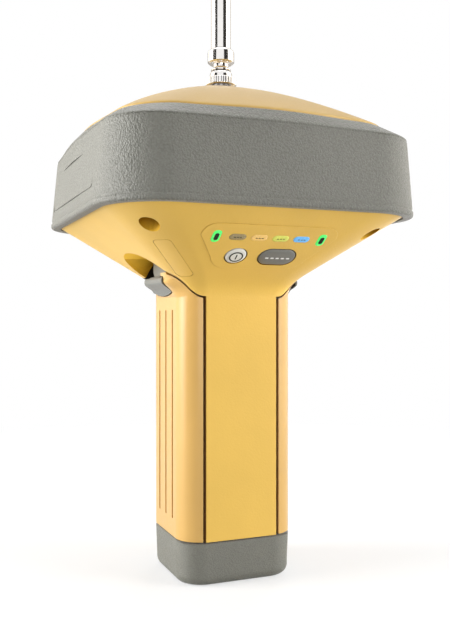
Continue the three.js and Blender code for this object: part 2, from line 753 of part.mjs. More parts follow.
function baseCap() {
  const halfX = HANDLE_WIDTH / 2;
  const halfY = HANDLE_DEPTH / 2;
  const at = (z, inset) => ({
    z, halfX: halfX - inset, halfY: halfY - inset, corner: HANDLE_CORNER - inset / 2,
  });
  const edge = BASE_EDGE_SHARES.map((share) => {
    const inset = BASE_EDGE * BASE_EDGE_PULL_SHARE * (1 - Math.sqrt(1 - (1 - share) ** 2));
    return at(share * BASE_EDGE, BASE_DRAFT + inset);
  });
  const block = loft([...edge, at(BASE_HEIGHT, 0)]);
  const hole = turned([
    [0, -OVERRUN], [INSERT_FLANGE_RADIUS + FIT, -OVERRUN],
    [INSERT_FLANGE_RADIUS + FIT, INSERT_FLANGE_WALL + FIT * 2],
    [INSERT_RADIUS + FIT, INSERT_FLANGE_WALL + FIT * 2], [INSERT_RADIUS + FIT, BASE_HEIGHT + OVERRUN],
    [0, BASE_HEIGHT + OVERRUN],
  ]);
  add('base_cap', block.subtract(hole), GREY_RUBBER);
}

function poleInsert() {
  const pitch = (BASE_HEIGHT - INSERT_FLANGE_WALL) / THREAD_TURNS;
  const bore = [];
  for (let turn = 0; turn < THREAD_TURNS; turn += 1) {
    const z = INSERT_FLANGE_WALL / 2 + turn * pitch;
    bore.push([INSERT_BORE_RADIUS + THREAD_DEPTH, z], [INSERT_BORE_RADIUS, z + pitch / 2]);
  }
  add('pole_insert', turned([
    [INSERT_BORE_RADIUS + THREAD_DEPTH, FIT], [INSERT_FLANGE_RADIUS, FIT],
    [INSERT_FLANGE_RADIUS, INSERT_FLANGE_WALL + FIT],
    [INSERT_RADIUS, INSERT_FLANGE_WALL + FIT], [INSERT_RADIUS, BASE_HEIGHT],
    [INSERT_BORE_RADIUS, BASE_HEIGHT],
    ...bore.reverse(), [INSERT_BORE_RADIUS + THREAD_DEPTH, FIT],
  ]), STEEL);
}

function paddleTop() {
  return LATCH_FOOT + LATCH_NOSE_RISE + LATCH_LEDGE_RISE;
}

// Side-on outline of a latch, looking along X: a paddle with a bowed lower edge, and the arm above it.
function latchOutline(grow) {
  const wide = LATCH_WIDTH / 2 + grow;
  const waist = LATCH_WAIST_WIDTH / 2 + grow;
  const arm = LATCH_ARM_WIDTH / 2 + grow;
  const tip = LATCH_FOOT + LATCH_TIP_RISE - grow;
  const ledge = paddleTop() + grow;
  const full = ledge + LATCH_ARM_RISE;
  const top = full + LATCH_ARM_LENGTH;
  const shape = new THREE.Shape();
  shape.moveTo(-wide, tip);
  shape.quadraticCurveTo(0, tip - LATCH_TIP_RISE * 2, wide, tip);
  shape.lineTo(wide, ledge);
  shape.lineTo(waist, ledge);
  shape.lineTo(arm, full);
  shape.lineTo(arm, top);
  shape.lineTo(-arm, top);
  shape.lineTo(-arm, full);
  shape.lineTo(-waist, ledge);
  shape.lineTo(-wide, ledge);
  return shape;
}

// Outer face of the paddle, from its foot to its nose, as [x, z] pairs.
function paddleFace(inset) {
  const reach = LATCH_NOSE - LATCH_FOOT_FACE;
  return PADDLE_SHARES.map(([out, up]) => [
    -(LATCH_FOOT_FACE + reach * out - inset), LATCH_FOOT + LATCH_NOSE_RISE * up]);
}

function latchSide() {
  const back = LATCH_ARM_FACE - LATCH_ARM_WALL;
  const ledge = paddleTop();
  const top = ledge + LATCH_ARM_RISE + LATCH_ARM_LENGTH;
  return [
    [-LATCH_BACK, LATCH_FOOT], ...paddleFace(0), [-LATCH_NOSE + LATCH_LEDGE_RISE, ledge],
    [-LATCH_ARM_FACE, ledge + LATCH_LEDGE_RISE], [-LATCH_ARM_FACE, top], [-back, top],
    [-back, ledge + LATCH_LEDGE_RISE], [-LATCH_BACK, ledge - LATCH_LEDGE_RISE],
  ];
}

// Boss around the latch: it follows the paddle's face and slopes off at both sides.
function latchBoss() {
  const near = -HANDLE_WIDTH / 2 + SLIDE_FIT;
  const foot = LATCH_FOOT - BOSS_DROP;
  const profile = [[near, foot], ...paddleFace(BOSS_INSET), [-LATCH_NOSE + BOSS_INSET, BOSS_TOP], [near, BOSS_TOP]];
  const wide = BOSS_WIDTH / 2;
  const slope = LATCH_NOSE - HANDLE_WIDTH / 2;
  const plan = new THREE.Shape([[near, -wide], [near, wide], [-LATCH_NOSE, wide - slope / 2],
    [-LATCH_NOSE, slope / 2 - wide]].map(([x, y]) => new THREE.Vector2(x, y)));
  return alongDepth(profile, wide).intersect(toSolid(raised(plan, foot - OVERRUN, BOSS_TOP + OVERRUN)));
}

function pinForm(grow, length) {
  const geometry = new THREE.CylinderGeometry(PIN_RADIUS + grow, PIN_RADIUS + grow, length, SMALL_STEPS);
  geometry.translate(-PIN_SPOT, 0, LATCH_FOOT + PIN_RISE);
  return toSolid(geometry);
}

function batteryCover() {
  const foot = BASE_HEIGHT + SLIDE_FIT;
  const room = sideRoom(GROOVE, SEAM_FIT, foot - OVERRUN);
  let body = outerSkin(foot, RIM_TOP).intersect(room).add(latchBoss());
  body = body.subtract(
    alongWidth(latchOutline(LATCH_FIT), -LATCH_NOSE - OVERRUN, -LATCH_BACK + LATCH_POCKET_DEPTH));
  body = body.subtract(pinForm(FIT, PIN_LENGTH + FIT * 2));
  const length = BATTERY_GROOVE_TOP - BATTERY_GROOVE_FOOT;
  const middle = (BATTERY_GROOVE_TOP + BATTERY_GROOVE_FOOT) / 2;
  for (let i = 0; i < BATTERY_GROOVES; i += 1) {
    const y = (i - (BATTERY_GROOVES - 1) / 2) * BATTERY_GROOVE_PITCH;
    const outline = roundedOutline(BATTERY_GROOVE_WIDTH / 2, length / 2, BATTERY_GROOVE_WIDTH / 2);
    outline.forEach((point) => point.add(new THREE.Vector2(y, middle)));
    const near = -HANDLE_WIDTH / 2 - OVERRUN;
    const far = -HANDLE_WIDTH / 2 + BATTERY_GROOVE_DEPTH;
    body = body.subtract(alongWidth(new THREE.Shape(outline), near, far));
  }
  return body;
}

function batteryCore() {
  const foot = BASE_HEIGHT + SLIDE_FIT;
  const far = -(FLANGE_WIDTH / 2 + GROOVE - FIT);
  const near = -(WEB_WALL / 2 + SLIDE_FIT);
  const top = SPINE_TOP - CORE_TOP_DROP;
  const block = alongDepth([[near, foot], [far, foot], [far, top], [near, top]], CORE_DEPTH / 2 - SLIDE_FIT);
  return block.subtract(terminalForm(FIT, near - TERMINAL_DEPTH - FIT, near + OVERRUN));
}

function terminalForm(grow, near, far) {
  const outline = roundedOutline(TERMINAL_WIDTH / 2 + grow, TERMINAL_HEIGHT / 2 + grow, PIN_RADIUS);
  outline.forEach((point) => point.add(new THREE.Vector2(0, TERMINAL_RISE)));
  return alongWidth(new THREE.Shape(outline), near, far);
}

function contactCut() {
  const face = -WEB_WALL / 2;
  return terminalForm(FIT, face - OVERRUN, face + TERMINAL_DEPTH * 2 + FIT);
}

function battery(side, place) {
  const name = (piece) => `${side}_${piece}`;
  const near = -(WEB_WALL / 2 + SLIDE_FIT);
  add(name('battery_cover'), place(batteryCover()), YELLOW_GLOSS);
  add(name('battery_core'), place(batteryCore()), DARK_PLASTIC);
  add(name('battery_terminals'), place(terminalForm(0, near - TERMINAL_DEPTH, near)), BRASS);
  add(name('contact_block'), place(
    terminalForm(0, -WEB_WALL / 2, -WEB_WALL / 2 + TERMINAL_DEPTH * 2)), DARK_PLASTIC);
  const latch = alongDepth(latchSide(), LATCH_WIDTH).intersect(
    alongWidth(latchOutline(0), -LATCH_NOSE - OVERRUN, 0));
  add(name('latch'), place(latch.subtract(pinForm(FIT, PIN_LENGTH + OVERRUN))), GREY_PLASTIC);
  add(name('latch_pin'), place(pinForm(0, PIN_LENGTH)), STEEL);
}

function controlPanel() {
  let face = onSlope(FRONT, raised(panelShape(0), -PANEL_WALL, PANEL_PROUD));
  lampSpots().forEach((spot) => {
    face = face.subtract(onSlope(FRONT, lampForm(spot, FIT, -PANEL_WALL - OVERRUN, OVERRUN)));
  });
  keySpots().forEach((spot) => {
    face = face.subtract(onSlope(FRONT, keyForm(spot, FIT, -PANEL_WALL - OVERRUN, OVERRUN)));
  });
  add('control_panel', face, YELLOW);
  const board = raised(panelShape(-KEYPAD_INSET), -KEYPAD_DEPTH + FIT, -KEYPAD_DEPTH + FIT + KEYPAD_WALL);
  add('keypad_board', onSlope(FRONT, board), BOARD_GREEN);
  const looks = [LAMP_GREEN, LAMP_GREEN, LAMP_BROWN, LAMP_TAN, LAMP_LIME, LAMP_BLUE];
  const names = ['left_battery_lamp', 'right_battery_lamp', 'status_lamp_1', 'status_lamp_2',
    'status_lamp_3', 'status_lamp_4'];
  lampSpots().forEach((spot, i) => {
    add(names[i], onSlope(FRONT, lampForm(spot, 0, -PANEL_WALL, PANEL_PROUD + LAMP_PROUD)), looks[i]);
  });
  const keyNames = ['power_button', 'function_button'];
  const keyLooks = [KEY_LIGHT, KEY_DARK];
  keySpots().forEach((spot, i) => {
    const stem = onSlope(FRONT, keyForm(spot, 0, -KEY_DEPTH, KEY_PROUD - KEY_CROWN));
    const crown = onSlope(FRONT, keyForm(spot, -KEY_CROWN, KEY_PROUD - KEY_CROWN * 2, KEY_PROUD));
    add(keyNames[i], stem.add(crown), keyLooks[i]);
  });
}

function housingScrews() {
  const head = SCREW_SEAT - FIT;
  const low = head - SCREW_HEAD_HEIGHT;
  const socket = SCREW_SOCKET_DEPTH;
  corners(SCREW_SPOT).forEach(([x, y], i) => {
    const body = turned([
      [0, low + socket], [SCREW_SOCKET_RADIUS, low + socket], [SCREW_SOCKET_RADIUS, low],
      [SCREW_HEAD_RADIUS - WHIP_CHAMFER, low], [SCREW_HEAD_RADIUS, low + WHIP_CHAMFER],
      [SCREW_HEAD_RADIUS, head], [SCREW_SHANK_RADIUS, head],
      [SCREW_SHANK_RADIUS, head + SCREW_SHANK_LENGTH], [0, head + SCREW_SHANK_LENGTH],
    ], SMALL_STEPS);
    add(`housing_screw_${i + 1}`, body.translate([x, y, 0]), STEEL);
  });
}

function radioWindow() {
  add('radio_window', skin.intersect(windowForm(FIT, WINDOW_DEPTH)), YELLOW_GLOSS);
}

function roundPort(name, x) {
  const shell = turned([
    [0, -PORT_DEPTH], [PORT_RADIUS, -PORT_DEPTH], [PORT_RADIUS, FIT], [PORT_FLANGE_RADIUS, FIT],
    [PORT_FLANGE_RADIUS, FIT + PORT_FLANGE_WALL / 2], [PORT_RADIUS + FIT, FIT + PORT_FLANGE_WALL],
    [PORT_BORE_RADIUS, FIT + PORT_FLANGE_WALL], [PORT_BORE_RADIUS, FIT + PORT_FLANGE_WALL - PORT_BORE_DEPTH],
    [PORT_CORE_RADIUS, FIT + PORT_FLANGE_WALL - PORT_BORE_DEPTH],
    [PORT_CORE_RADIUS, PORT_CORE_LENGTH - PORT_BORE_DEPTH + PORT_FLANGE_WALL],
    [0, PORT_CORE_LENGTH - PORT_BORE_DEPTH + PORT_FLANGE_WALL],
  ], SMALL_STEPS);
  const placed = shell.translate([x, PORT_RISE, 0]).transform(REAR.elements);
  add(name, placed, STEEL);
}

function ports() {
  const [power, serial, usb] = portSpots();
  roundPort('power_port', power);
  roundPort('serial_port', serial);
  const body = moved(slab(USB_WIDTH, USB_HEIGHT, USB_CORNER, -PORT_DEPTH, PORT_PROUD), usb, PORT_RISE, 0);
  const slot = moved(
    slab(USB_SLOT_WIDTH, USB_SLOT_HEIGHT, USB_CORNER, PORT_PROUD - PORT_BORE_DEPTH, OVERRUN), usb, PORT_RISE, 0);
  add('usb_port', onSlope(REAR, body).subtract(onSlope(REAR, slot)), DARK_PLASTIC);
}

function electronics() {
  const boardFoot = CAVITY_FLOOR + STANDOFF_HEIGHT + FIT;
  const boardTop = boardFoot + BOARD_WALL;
  add('main_board', toSolid(
    slab(MAIN_BOARD_WIDTH, MAIN_BOARD_WIDTH, MAIN_BOARD_CORNER, boardFoot, boardTop)), BOARD_GREEN);
  const low = boardTop + FIT;
  const modules = [['gnss_module', -MODULE_SPOT, SHEET], ['radio_module', MODULE_SPOT, SHEET]];
  modules.forEach(([name, x, look]) => {
    const form = slab(MODULE_WIDTH, MODULE_DEPTH, MODULE_CORNER, low, low + MODULE_HEIGHT);
    add(name, toSolid(moved(form, x, 0, 0)), look);
  });
  const plane = RIM_TOP;
  const top = plane + BOARD_WALL;
  add('ground_plane', toSolid(
    slab(GROUND_PLANE_WIDTH, GROUND_PLANE_WIDTH, GROUND_PLANE_CORNER, plane, top)), BOARD_GREEN);
  add('amplifier_shield', toSolid(slab(
    SHIELD_WIDTH, SHIELD_WIDTH, MODULE_CORNER, plane - FIT - SHIELD_HEIGHT, plane - FIT)), SHEET);
  const ring = (radius, foot, wall) => turned([
    [FEED_RADIUS + FIT, foot], [radius, foot], [radius, foot + wall], [FEED_RADIUS + FIT, foot + wall],
    [FEED_RADIUS + FIT, foot],
  ]);
  add('lower_element', ring(LOWER_PATCH_RADIUS, top + FIT, LOWER_PATCH_WALL), CERAMIC);
  const upper = top + FIT * 2 + LOWER_PATCH_WALL;
  add('upper_element', ring(UPPER_PATCH_RADIUS, upper, UPPER_PATCH_WALL), CERAMIC);
  add('feed_post', disc(FEED_RADIUS, top + FIT, jackFoot() - FIT, SMALL_STEPS), BRASS);
}

function jackFoot() {
  return crownTop() - JACK_DROP;
}

function antenna() {
  const seat = crownTop() + FIT;
  const nutFoot = crownTop() + NUT_GAP;
  add('antenna_jack', turned([
    [0, jackFoot()], [JACK_RADIUS, jackFoot()], [JACK_RADIUS, seat], [JACK_FLANGE_RADIUS, seat],
    [JACK_FLANGE_RADIUS, nutFoot - FIT], [JACK_RADIUS, nutFoot - FIT],
    [JACK_RADIUS, nutFoot + JACK_RISE], [0, nutFoot + JACK_RISE],
  ], SMALL_STEPS), STEEL);
  const outline = [];
  for (let i = 0; i < NUT_KNURLS * 2; i += 1) {
    const radius = NUT_RADIUS * (i % 2 ? NUT_KNURL_SHARE : 1);
    const angle = i * Math.PI / NUT_KNURLS;
    outline.push(new THREE.Vector2(radius * Math.cos(angle), radius * Math.sin(angle)));
  }
  const low = nutFoot + FIT;
  const high = low + NUT_HEIGHT;
  const knurled = toSolid(raised(new THREE.Shape(outline), low, high));
  const shoulder = disc(NUT_SHOULDER_RADIUS, high - NUT_SHOULDER, high + NUT_SHOULDER);
  const bore = disc(JACK_RADIUS + FIT, low - OVERRUN, high + NUT_SHOULDER + OVERRUN, SMALL_STEPS);
  add('antenna_nut', knurled.add(shoulder).subtract(bore), CHROME);
  const neck = high + NUT_SHOULDER + FIT;
  const collar = neck + WHIP_NECK;
  const collarTop = collar + WHIP_COLLAR;
  add('antenna_base', turned([
    [0, neck], [WHIP_NECK_RADIUS - WHIP_CHAMFER, neck], [WHIP_NECK_RADIUS, neck + WHIP_CHAMFER],
    [WHIP_NECK_RADIUS, collar], [WHIP_COLLAR_RADIUS - WHIP_CHAMFER, collar],
    [WHIP_COLLAR_RADIUS, collar + WHIP_CHAMFER], [WHIP_COLLAR_RADIUS, collarTop - WHIP_CHAMFER],
    [WHIP_COLLAR_RADIUS - WHIP_CHAMFER, collarTop], [0, collarTop],
  ]), CHROME);
  const tube = collarTop + FIT;
  add('antenna_tube', disc(WHIP_RADIUS, tube, tube + WHIP_LENGTH), CHROME);
  const tip = tube + WHIP_LENGTH + FIT;
  add('antenna_tip', turned([
    [0, tip], [WHIP_RADIUS, tip],
    ...WHIP_TIP_SHARES.map(([out, up]) => [WHIP_RADIUS * out, tip + WHIP_TIP * up]), [0, tip + WHIP_TIP],
  ]), DARK_PLASTIC);
}

mainHousing();
bumperRing();
radome();
baseCap();
poleInsert();
battery('left', (solid) => solid);
battery('right', mirrored);
controlPanel();
housingScrews();
radioWindow();
ports();
electronics();
antenna();

export default root;
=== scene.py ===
import math

import bmesh
import bpy
from mathutils import Matrix, Vector


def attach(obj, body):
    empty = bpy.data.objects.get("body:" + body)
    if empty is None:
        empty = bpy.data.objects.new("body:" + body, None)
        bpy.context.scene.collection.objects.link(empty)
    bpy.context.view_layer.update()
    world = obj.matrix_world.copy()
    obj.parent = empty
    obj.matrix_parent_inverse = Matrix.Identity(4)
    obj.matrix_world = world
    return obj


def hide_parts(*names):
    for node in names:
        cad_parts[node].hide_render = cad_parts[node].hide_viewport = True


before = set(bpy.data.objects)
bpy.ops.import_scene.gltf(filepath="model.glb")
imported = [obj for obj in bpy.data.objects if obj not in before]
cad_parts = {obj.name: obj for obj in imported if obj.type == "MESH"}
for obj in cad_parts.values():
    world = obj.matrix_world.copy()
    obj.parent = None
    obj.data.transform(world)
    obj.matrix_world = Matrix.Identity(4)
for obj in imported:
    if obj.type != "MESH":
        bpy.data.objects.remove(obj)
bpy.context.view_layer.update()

bl_info = {
    "name": "Pole Receiver Finish",
    "version": (1, 0, 0),
    "blender": (4, 5, 0),
    "location": "View3D > Sidebar > Receiver",
    "description": "Dresses a satellite positioning receiver with moulded, rubber, plated and lit finishes",
    "category": "Object",
}

MM = 0.001
TURN = math.tau
FIT = 0.3 * MM
OVERRUN = 4 * MM          # how far a cutter runs past what it cuts
CORNERS = ((-1, -1), (1, -1), (1, 1), (-1, 1))


def scaled(*points):
    """Points in millimetres, as metres."""
    return [tuple(value * MM for value in point) for point in points]


# The left latch: its reach from the side inwards, the wedge beside the lever and the lever's open end
LATCH_OUTER = -42.2 * MM
LATCH_INNER = -27.6 * MM
SLOT_WEDGE = scaled((-25, 148.6), (-25, 160), (-29.6, 160), (-35.2, 148.6))
LEVER_HOLLOW = scaled(
    (-29.8, 141.2), (-31.1, 141.3), (-32.4, 143), (-34.5, 144.4), (-36, 145.8), (-36, 147.8), (-29.8, 147.8))

# The swell round the latch: it starts at the pack's front corner and is full after BOSS_BLEND
BOSS_FRONT = -24.5 * MM
BOSS_RUN = 36.5 * MM
BOSS_BLEND = 8.9 * MM
BOSS_BACK = -23 * MM
BOSS_STEPS = 24
BOSS_STEP_ROOM = scaled((-11.4, 149.2), (20, 149.2), (20, 155), (-11.4, 155))

# The controls, as heights over the panel's face
HOLE_DEPTH = 4.8 * MM     # leaves room under a pressed key
LENS_RISE = 0.3 * MM
KEY_TOP = 1.1 * MM

# The corner screws
SCREW_HEAD_TOP = 176.7 * MM
SCREW_HEAD_HEIGHT = 3.6 * MM
SCREW_HOLE = scaled((0, 100), (4.6, 100), (4.6, 177), (0, 177))

# The antenna's turned parts, as radius and height
JACK_PROFILE = scaled(
    (0, 237.2), (3.8, 237.2), (3.8, 246.5), (4.9, 246.5), (5.2, 246.8), (5.2, 248.3), (4.9, 248.6),
    (3.8, 248.6), (3.8, 255.6), (3.4, 256.1), (0, 256.1))
COLLAR_PROFILE = scaled(
    (0, 257.1), (4.9, 257.1), (5.2, 257.4), (5.1, 257.9), (4.4, 258.5), (3.9, 259.1), (3.9, 260.6),
    (6.1, 260.9), (6.9, 261.6), (6.9, 266.6), (6.5, 267.4), (5.5, 268.1), (0, 268.1))
TUBE_PROFILE = scaled((0, 268.4), (5.1, 268.4), (5.1, 330), (5.1, 387.2), (4.9, 387.4), (0, 387.4))
TIP_PROFILE = scaled(
    (0, 387.7), (5.1, 387.7), (5.1, 393.7), (4.95, 395.4), (4.5, 397.0), (3.7, 398.4), (2.5, 399.3),
    (1.2, 399.65), (0, 399.7))
NUT_TEETH = 48
NUT_STEPS = 192
TOOTH_DEPTH = 0.14


# Sizes and colours

def length(name, description, default_mm):
    """A length property, given in millimetres and kept in metres."""
    return bpy.props.FloatProperty(
        name=name, description=description, default=default_mm * MM, unit="LENGTH", precision=5)


def share(name, description, default):
    return bpy.props.FloatProperty(name=name, description=description, default=default, subtype="FACTOR")


def colour(name, description, default):
    return bpy.props.FloatVectorProperty(
        name=name, description=description, default=default, size=3, min=0.0, max=1.0, subtype="COLOR")


class ReceiverHandle(bpy.types.PropertyGroup):
    """Sizes of the pole handle, its base and its battery packs."""
    width: length("Width", "Across the handle, side to side", 60)
    depth: length("Depth", "Across the handle, front to back", 55)
    corner: length("Corner radius", "Rounding of the handle's four edges", 12.6)
    flange: length("Flange width", "Yellow strip left between the two packs", 37.1)
    flange_wall: length("Flange wall", "Thickness of the strip", 4.2)
    web: length("Web", "Wall between the two packs", 14)
    groove: length("Groove", "Dark gap beside the front strip", 1.5)
    seam_fit: length("Seam gap", "Gap under the head's seam", 1.0)
    fit: length("Pack gap", "Gap round a pack in its bay", 0.5)
    base: length("Base height", "Rubber base cap", 20.9)
    base_edge: length("Base edge", "Rounding of the base's lower edge", 4.5)
    seam_start: length("Seam start", "Height where the strip flows into the head", 139.4)
    seam_run: length("Seam run", "How far out the seam reaches", 15.5)
    seam_rise: length("Seam rise", "How far the seam climbs", 10.4)
    rib_pitch: length("Groove pitch", "Distance between the pack's grooves", 10.2)
    rib_width: length("Groove width", "Width of the pack's grooves", 1.7)
    rib_depth: length("Groove depth", "Depth of the pack's grooves", 0.5)
    rib_foot: length("Groove foot", "Lower end of the pack's grooves", 30)
    rib_top: length("Groove top", "Upper end of the pack's grooves", 133)


class ReceiverHead(bpy.types.PropertyGroup):
    """Sizes of the head: the funnel, the bumper and the radome."""
    foot: length("Funnel foot", "Height of the sloping faces' reference line", 146)
    foot_width: length("Funnel foot width", "Width at the reference line", 59.1)
    slope: share("Slope", "Half width gained for each height", 1.4)
    fillet: length("Fillet", "Half height of the fillet into the handle", 5.3)
    rim_width: length("Rim width", "Width of the housing inside the bumper", 148)
    rim_corner: length("Rim corner", "Corner radius of the rim", 27.6)
    rim_top: length("Rim top", "Height of the housing's upper edge", 204)
    bumper_width: length("Bumper width", "Widest square of the bumper", 158.1)
    bumper_corner: length("Bumper corner", "Corner radius at the widest square", 32.4)
    bumper_foot: length("Bumper foot", "Lower edge of the bumper", 176.9)
    crease: length("Crease", "Height of the bumper's upper crease", 213.8)
    crease_inset: length("Crease inset", "How far the crease lies inside the widest square", 1.65)
    crease_corner: length("Crease corner", "Corner radius at the crease", 25.8)
    crease_bow: share("Crease bow", "How far the crease's corners draw in", 0.034)
    bumper_top: length("Bumper top", "Where the bumper meets the radome", 220.2)
    top_inset: length("Top inset", "How far the radome's edge lies inside the widest square", 7.85)
    top_corner: length("Top corner", "Corner radius of the radome's edge", 25.3)
    top_bow: share("Top bow", "How far the radome's corners draw in", 0.08)
    lip: length("Lip", "Thickness of the bumper over the radome", 1.6)
    crown_rise: length("Crown rise", "From the radome's edge to its crown", 26)
    crown_sweep: share("Crown sweep", "Power of the crown's curve", 1.68)
    crown_wall: length("Crown wall", "Upright edge of the radome over the bumper", 1.2)
    crown_land: length("Crown land", "Flat land round the antenna jack", 7.7)
    pocket_width: length("Pocket width", "Finger pocket over a latch", 41)
    pocket_top: length("Pocket top", "Ceiling of the finger pocket", 161)
    pocket_floor: length("Pocket floor", "Inner wall of the pocket from the axis", 28.2)
    screw_spot: length("Screw spot", "Distance of the corner screws from the middle planes", 55.3)


class ReceiverPanel(bpy.types.PropertyGroup):
    """Sizes on the sloping control panel, measured up the slope."""
    foot: length("Foot", "Lower edge", 11.2)
    top: length("Top", "Upper edge", 42.1)
    middle: length("Middle", "Sideways place of the panel's middle", 1.2)
    width: length("Width", "Width at the top", 67.6)
    foot_width: length("Foot width", "Width at the foot", 44)
    proud: length("Proud", "How far the panel stands off the housing", 0.36)
    lamp_rise: length("Lamp rise", "Height of the row of lamps", 33.6)
    lamp_pitch: length("Lamp pitch", "Distance between status lamps", 10.67)
    battery_lamp: length("Battery lamp", "Distance of a battery lamp from the middle", 26.3)
    key_rise: length("Key rise", "Height of the two keys", 20.5)
    power_spot: length("Power key", "Place of the power key", -12.5)
    function_spot: length("Function key", "Place of the function key", 8.5)


class ReceiverFinish(bpy.types.PropertyGroup):
    """Colours of the finishes, in linear light."""
    housing: colour("Housing", "Satin moulded yellow", (0.685, 0.435, 0.082))
    pack: colour("Battery pack", "Glossier yellow", (0.55, 0.328, 0.085))
    # Painted shade: the recess colour is a more saturated tone laid on the walls of the finger pockets and
    # screw holes.
    recess: colour("Recess", "Walls of the finger pockets and screw holes", (0.70, 0.41, 0.03))
    rubber: colour("Rubber", "Grained bumper and base", (0.126, 0.126, 0.101))
    latch: colour("Latch", "Smooth grey levers", (0.155, 0.158, 0.145))
    key_light: colour("Power key", "Light key", (0.65, 0.645, 0.59))
    key_dark: colour("Function key", "Dark key", (0.15, 0.148, 0.13))
    print_dark: colour("Dark print", "Marks on the keys and lamps", (0.025, 0.03, 0.02))
    lamp_green: colour("Battery lamp", "Lit green", (0.075, 0.80, 0.145))
    lamp_brown: colour("Status lamp 1", "Unlit brown grey", (0.29, 0.23, 0.11))
    lamp_tan: colour("Status lamp 2", "Unlit tan", (0.86, 0.56, 0.165))
    lamp_lime: colour("Status lamp 3", "Lit yellow green", (0.62, 0.65, 0.11))
    lamp_blue: colour("Status lamp 4", "Lit blue", (0.14, 0.45, 0.87))


class ReceiverStage(bpy.types.PropertyGroup):
    """Camera and light."""
    distance: length("Distance", "Camera distance from the object's axis", 411.69)
    height: length("Height", "Camera height", 130.42)
    side: length("Side", "Sideways place of the aim point", 2.3)
    turn: bpy.props.FloatProperty(
        name="Turn", description="Camera's turn to the left of the front", default=math.radians(22.17),
        subtype="ANGLE", unit="ROTATION")
    lens: bpy.props.FloatProperty(
        name="Lens", description="Focal length on a 36 mm tall film", default=45.09, unit="CAMERA")
    fill: bpy.props.FloatProperty(
        name="Fill", description="Light from all round", default=0.14, min=0.0)
    key: bpy.props.FloatProperty(
        name="Key", description="Power of the left lamp", default=5.0, min=0.0, unit="POWER")


# Meshes

def new_piece(name, mesh):
    piece = bpy.data.objects.new(name, mesh)
    bpy.context.scene.collection.objects.link(piece)
    return piece


def from_faces(name, points, faces):
    mesh = bpy.data.meshes.new(name)
    mesh.from_pydata([tuple(point) for point in points], [], faces)
    mesh.validate()
    form = bmesh.new()
    form.from_mesh(mesh)
    bmesh.ops.remove_doubles(form, verts=form.verts, dist=1e-7)
    bmesh.ops.recalc_face_normals(form, faces=form.faces)
    form.to_mesh(mesh)
    form.free()
    return new_piece(name, mesh)


def outline(half_x, half_y, corner, steps=14):
    """Points of a rounded rectangle, counter-clockwise."""
    points = []
    for quarter, (sign_x, sign_y) in enumerate(((1, 1), (-1, 1), (-1, -1), (1, -1))):
        for step in range(steps + 1):
            angle = (quarter + step / steps) * math.pi / 2
            points.append((
                sign_x * (half_x - corner) + corner * math.cos(angle),
                sign_y * (half_y - corner) + corner * math.sin(angle)))
    return points


def skin(name, rings, closed=True):
    """Joins rings of points, all of one count, and closes both ends or the last ring to the first."""
    count = len(rings[0])
    points = [point for ring in rings for point in ring]
    faces = []
    levels = len(rings) if not closed else len(rings) - 1
    for level in range(levels):
        upper = (level + 1) % len(rings)
        for i in range(count):
            k = (i + 1) % count
            faces.append((level * count + i, level * count + k, upper * count + k, upper * count + i))
    if closed:
        for level in (0, len(rings) - 1):
            centre = len(points)
            ring = rings[level]
            points.append(tuple(sum(p[axis] for p in ring) / count for axis in range(3)))
            for i in range(count):
                k = (i + 1) % count
                faces.append((centre, level * count + i, level * count + k))
    return from_faces(name, points, faces)


def bowed(z, half, corner, bow, steps=14, side_steps=14):
    """A square outline with bulging sides at a height: its corners are drawn in by the bow."""
    plain = outline(half, half, corner, steps)
    points = []
    for i, point in enumerate(plain):
        points.append(point)
        if i % (steps + 1) == steps:
            after = plain[(i + 1) % len(plain)]
            points += [tuple(point[k] + (after[k] - point[k]) * step / side_steps for k in range(2))
                       for step in range(1, side_steps)]
    ring = []
    for x, y in points:
        scale = 1 - bow * math.sin(2 * math.atan2(y, x)) ** 2
        ring.append((x * scale, y * scale, z))
    return ring


def between(a, b, part):
    """The ring that lies between two rings."""
    return [tuple(p[k] + (q[k] - p[k]) * part for k in range(3)) for p, q in zip(a, b)]


def curved(a, middle, b, steps):
    """Rings along a quadratic curve from a to b, without a itself."""
    return [between(between(a, middle, t), between(middle, b, t), t)
            for t in (step / steps for step in range(1, steps + 1))]


def plain_ring(head, z, half):
    return bowed(z, half, head.bumper_corner - (head.bumper_width / 2 - half), 0.0)


def crease_ring(head, z, inset=0.0):
    half = head.bumper_width / 2 - head.crease_inset - inset
    return bowed(z, half, head.crease_corner - inset, head.crease_bow)


def top_ring(head, z, inset=0.0):
    half = head.bumper_width / 2 - head.top_inset - inset
    return bowed(z, half, head.top_corner - inset, head.top_bow)


def ring_at(half_x, half_y, corner, z, steps=14):
    return [(x, y, z) for x, y in outline(half_x, half_y, corner, steps)]


def prism(name, points, low, high, place=None):
    """Extrudes a flat outline from low to high, then places it with a matrix."""
    place = place or Matrix.Identity(4)
    rings = [[place @ Vector((x, y, z)) for x, y in points] for z in (low, high)]
    count = len(points)
    flat = rings[0] + rings[1]
    faces = [tuple(reversed(range(count))), tuple(range(count, 2 * count))]
    faces += [(i, (i + 1) % count, count + (i + 1) % count, count + i) for i in range(count)]
    return from_faces(name, flat, faces)


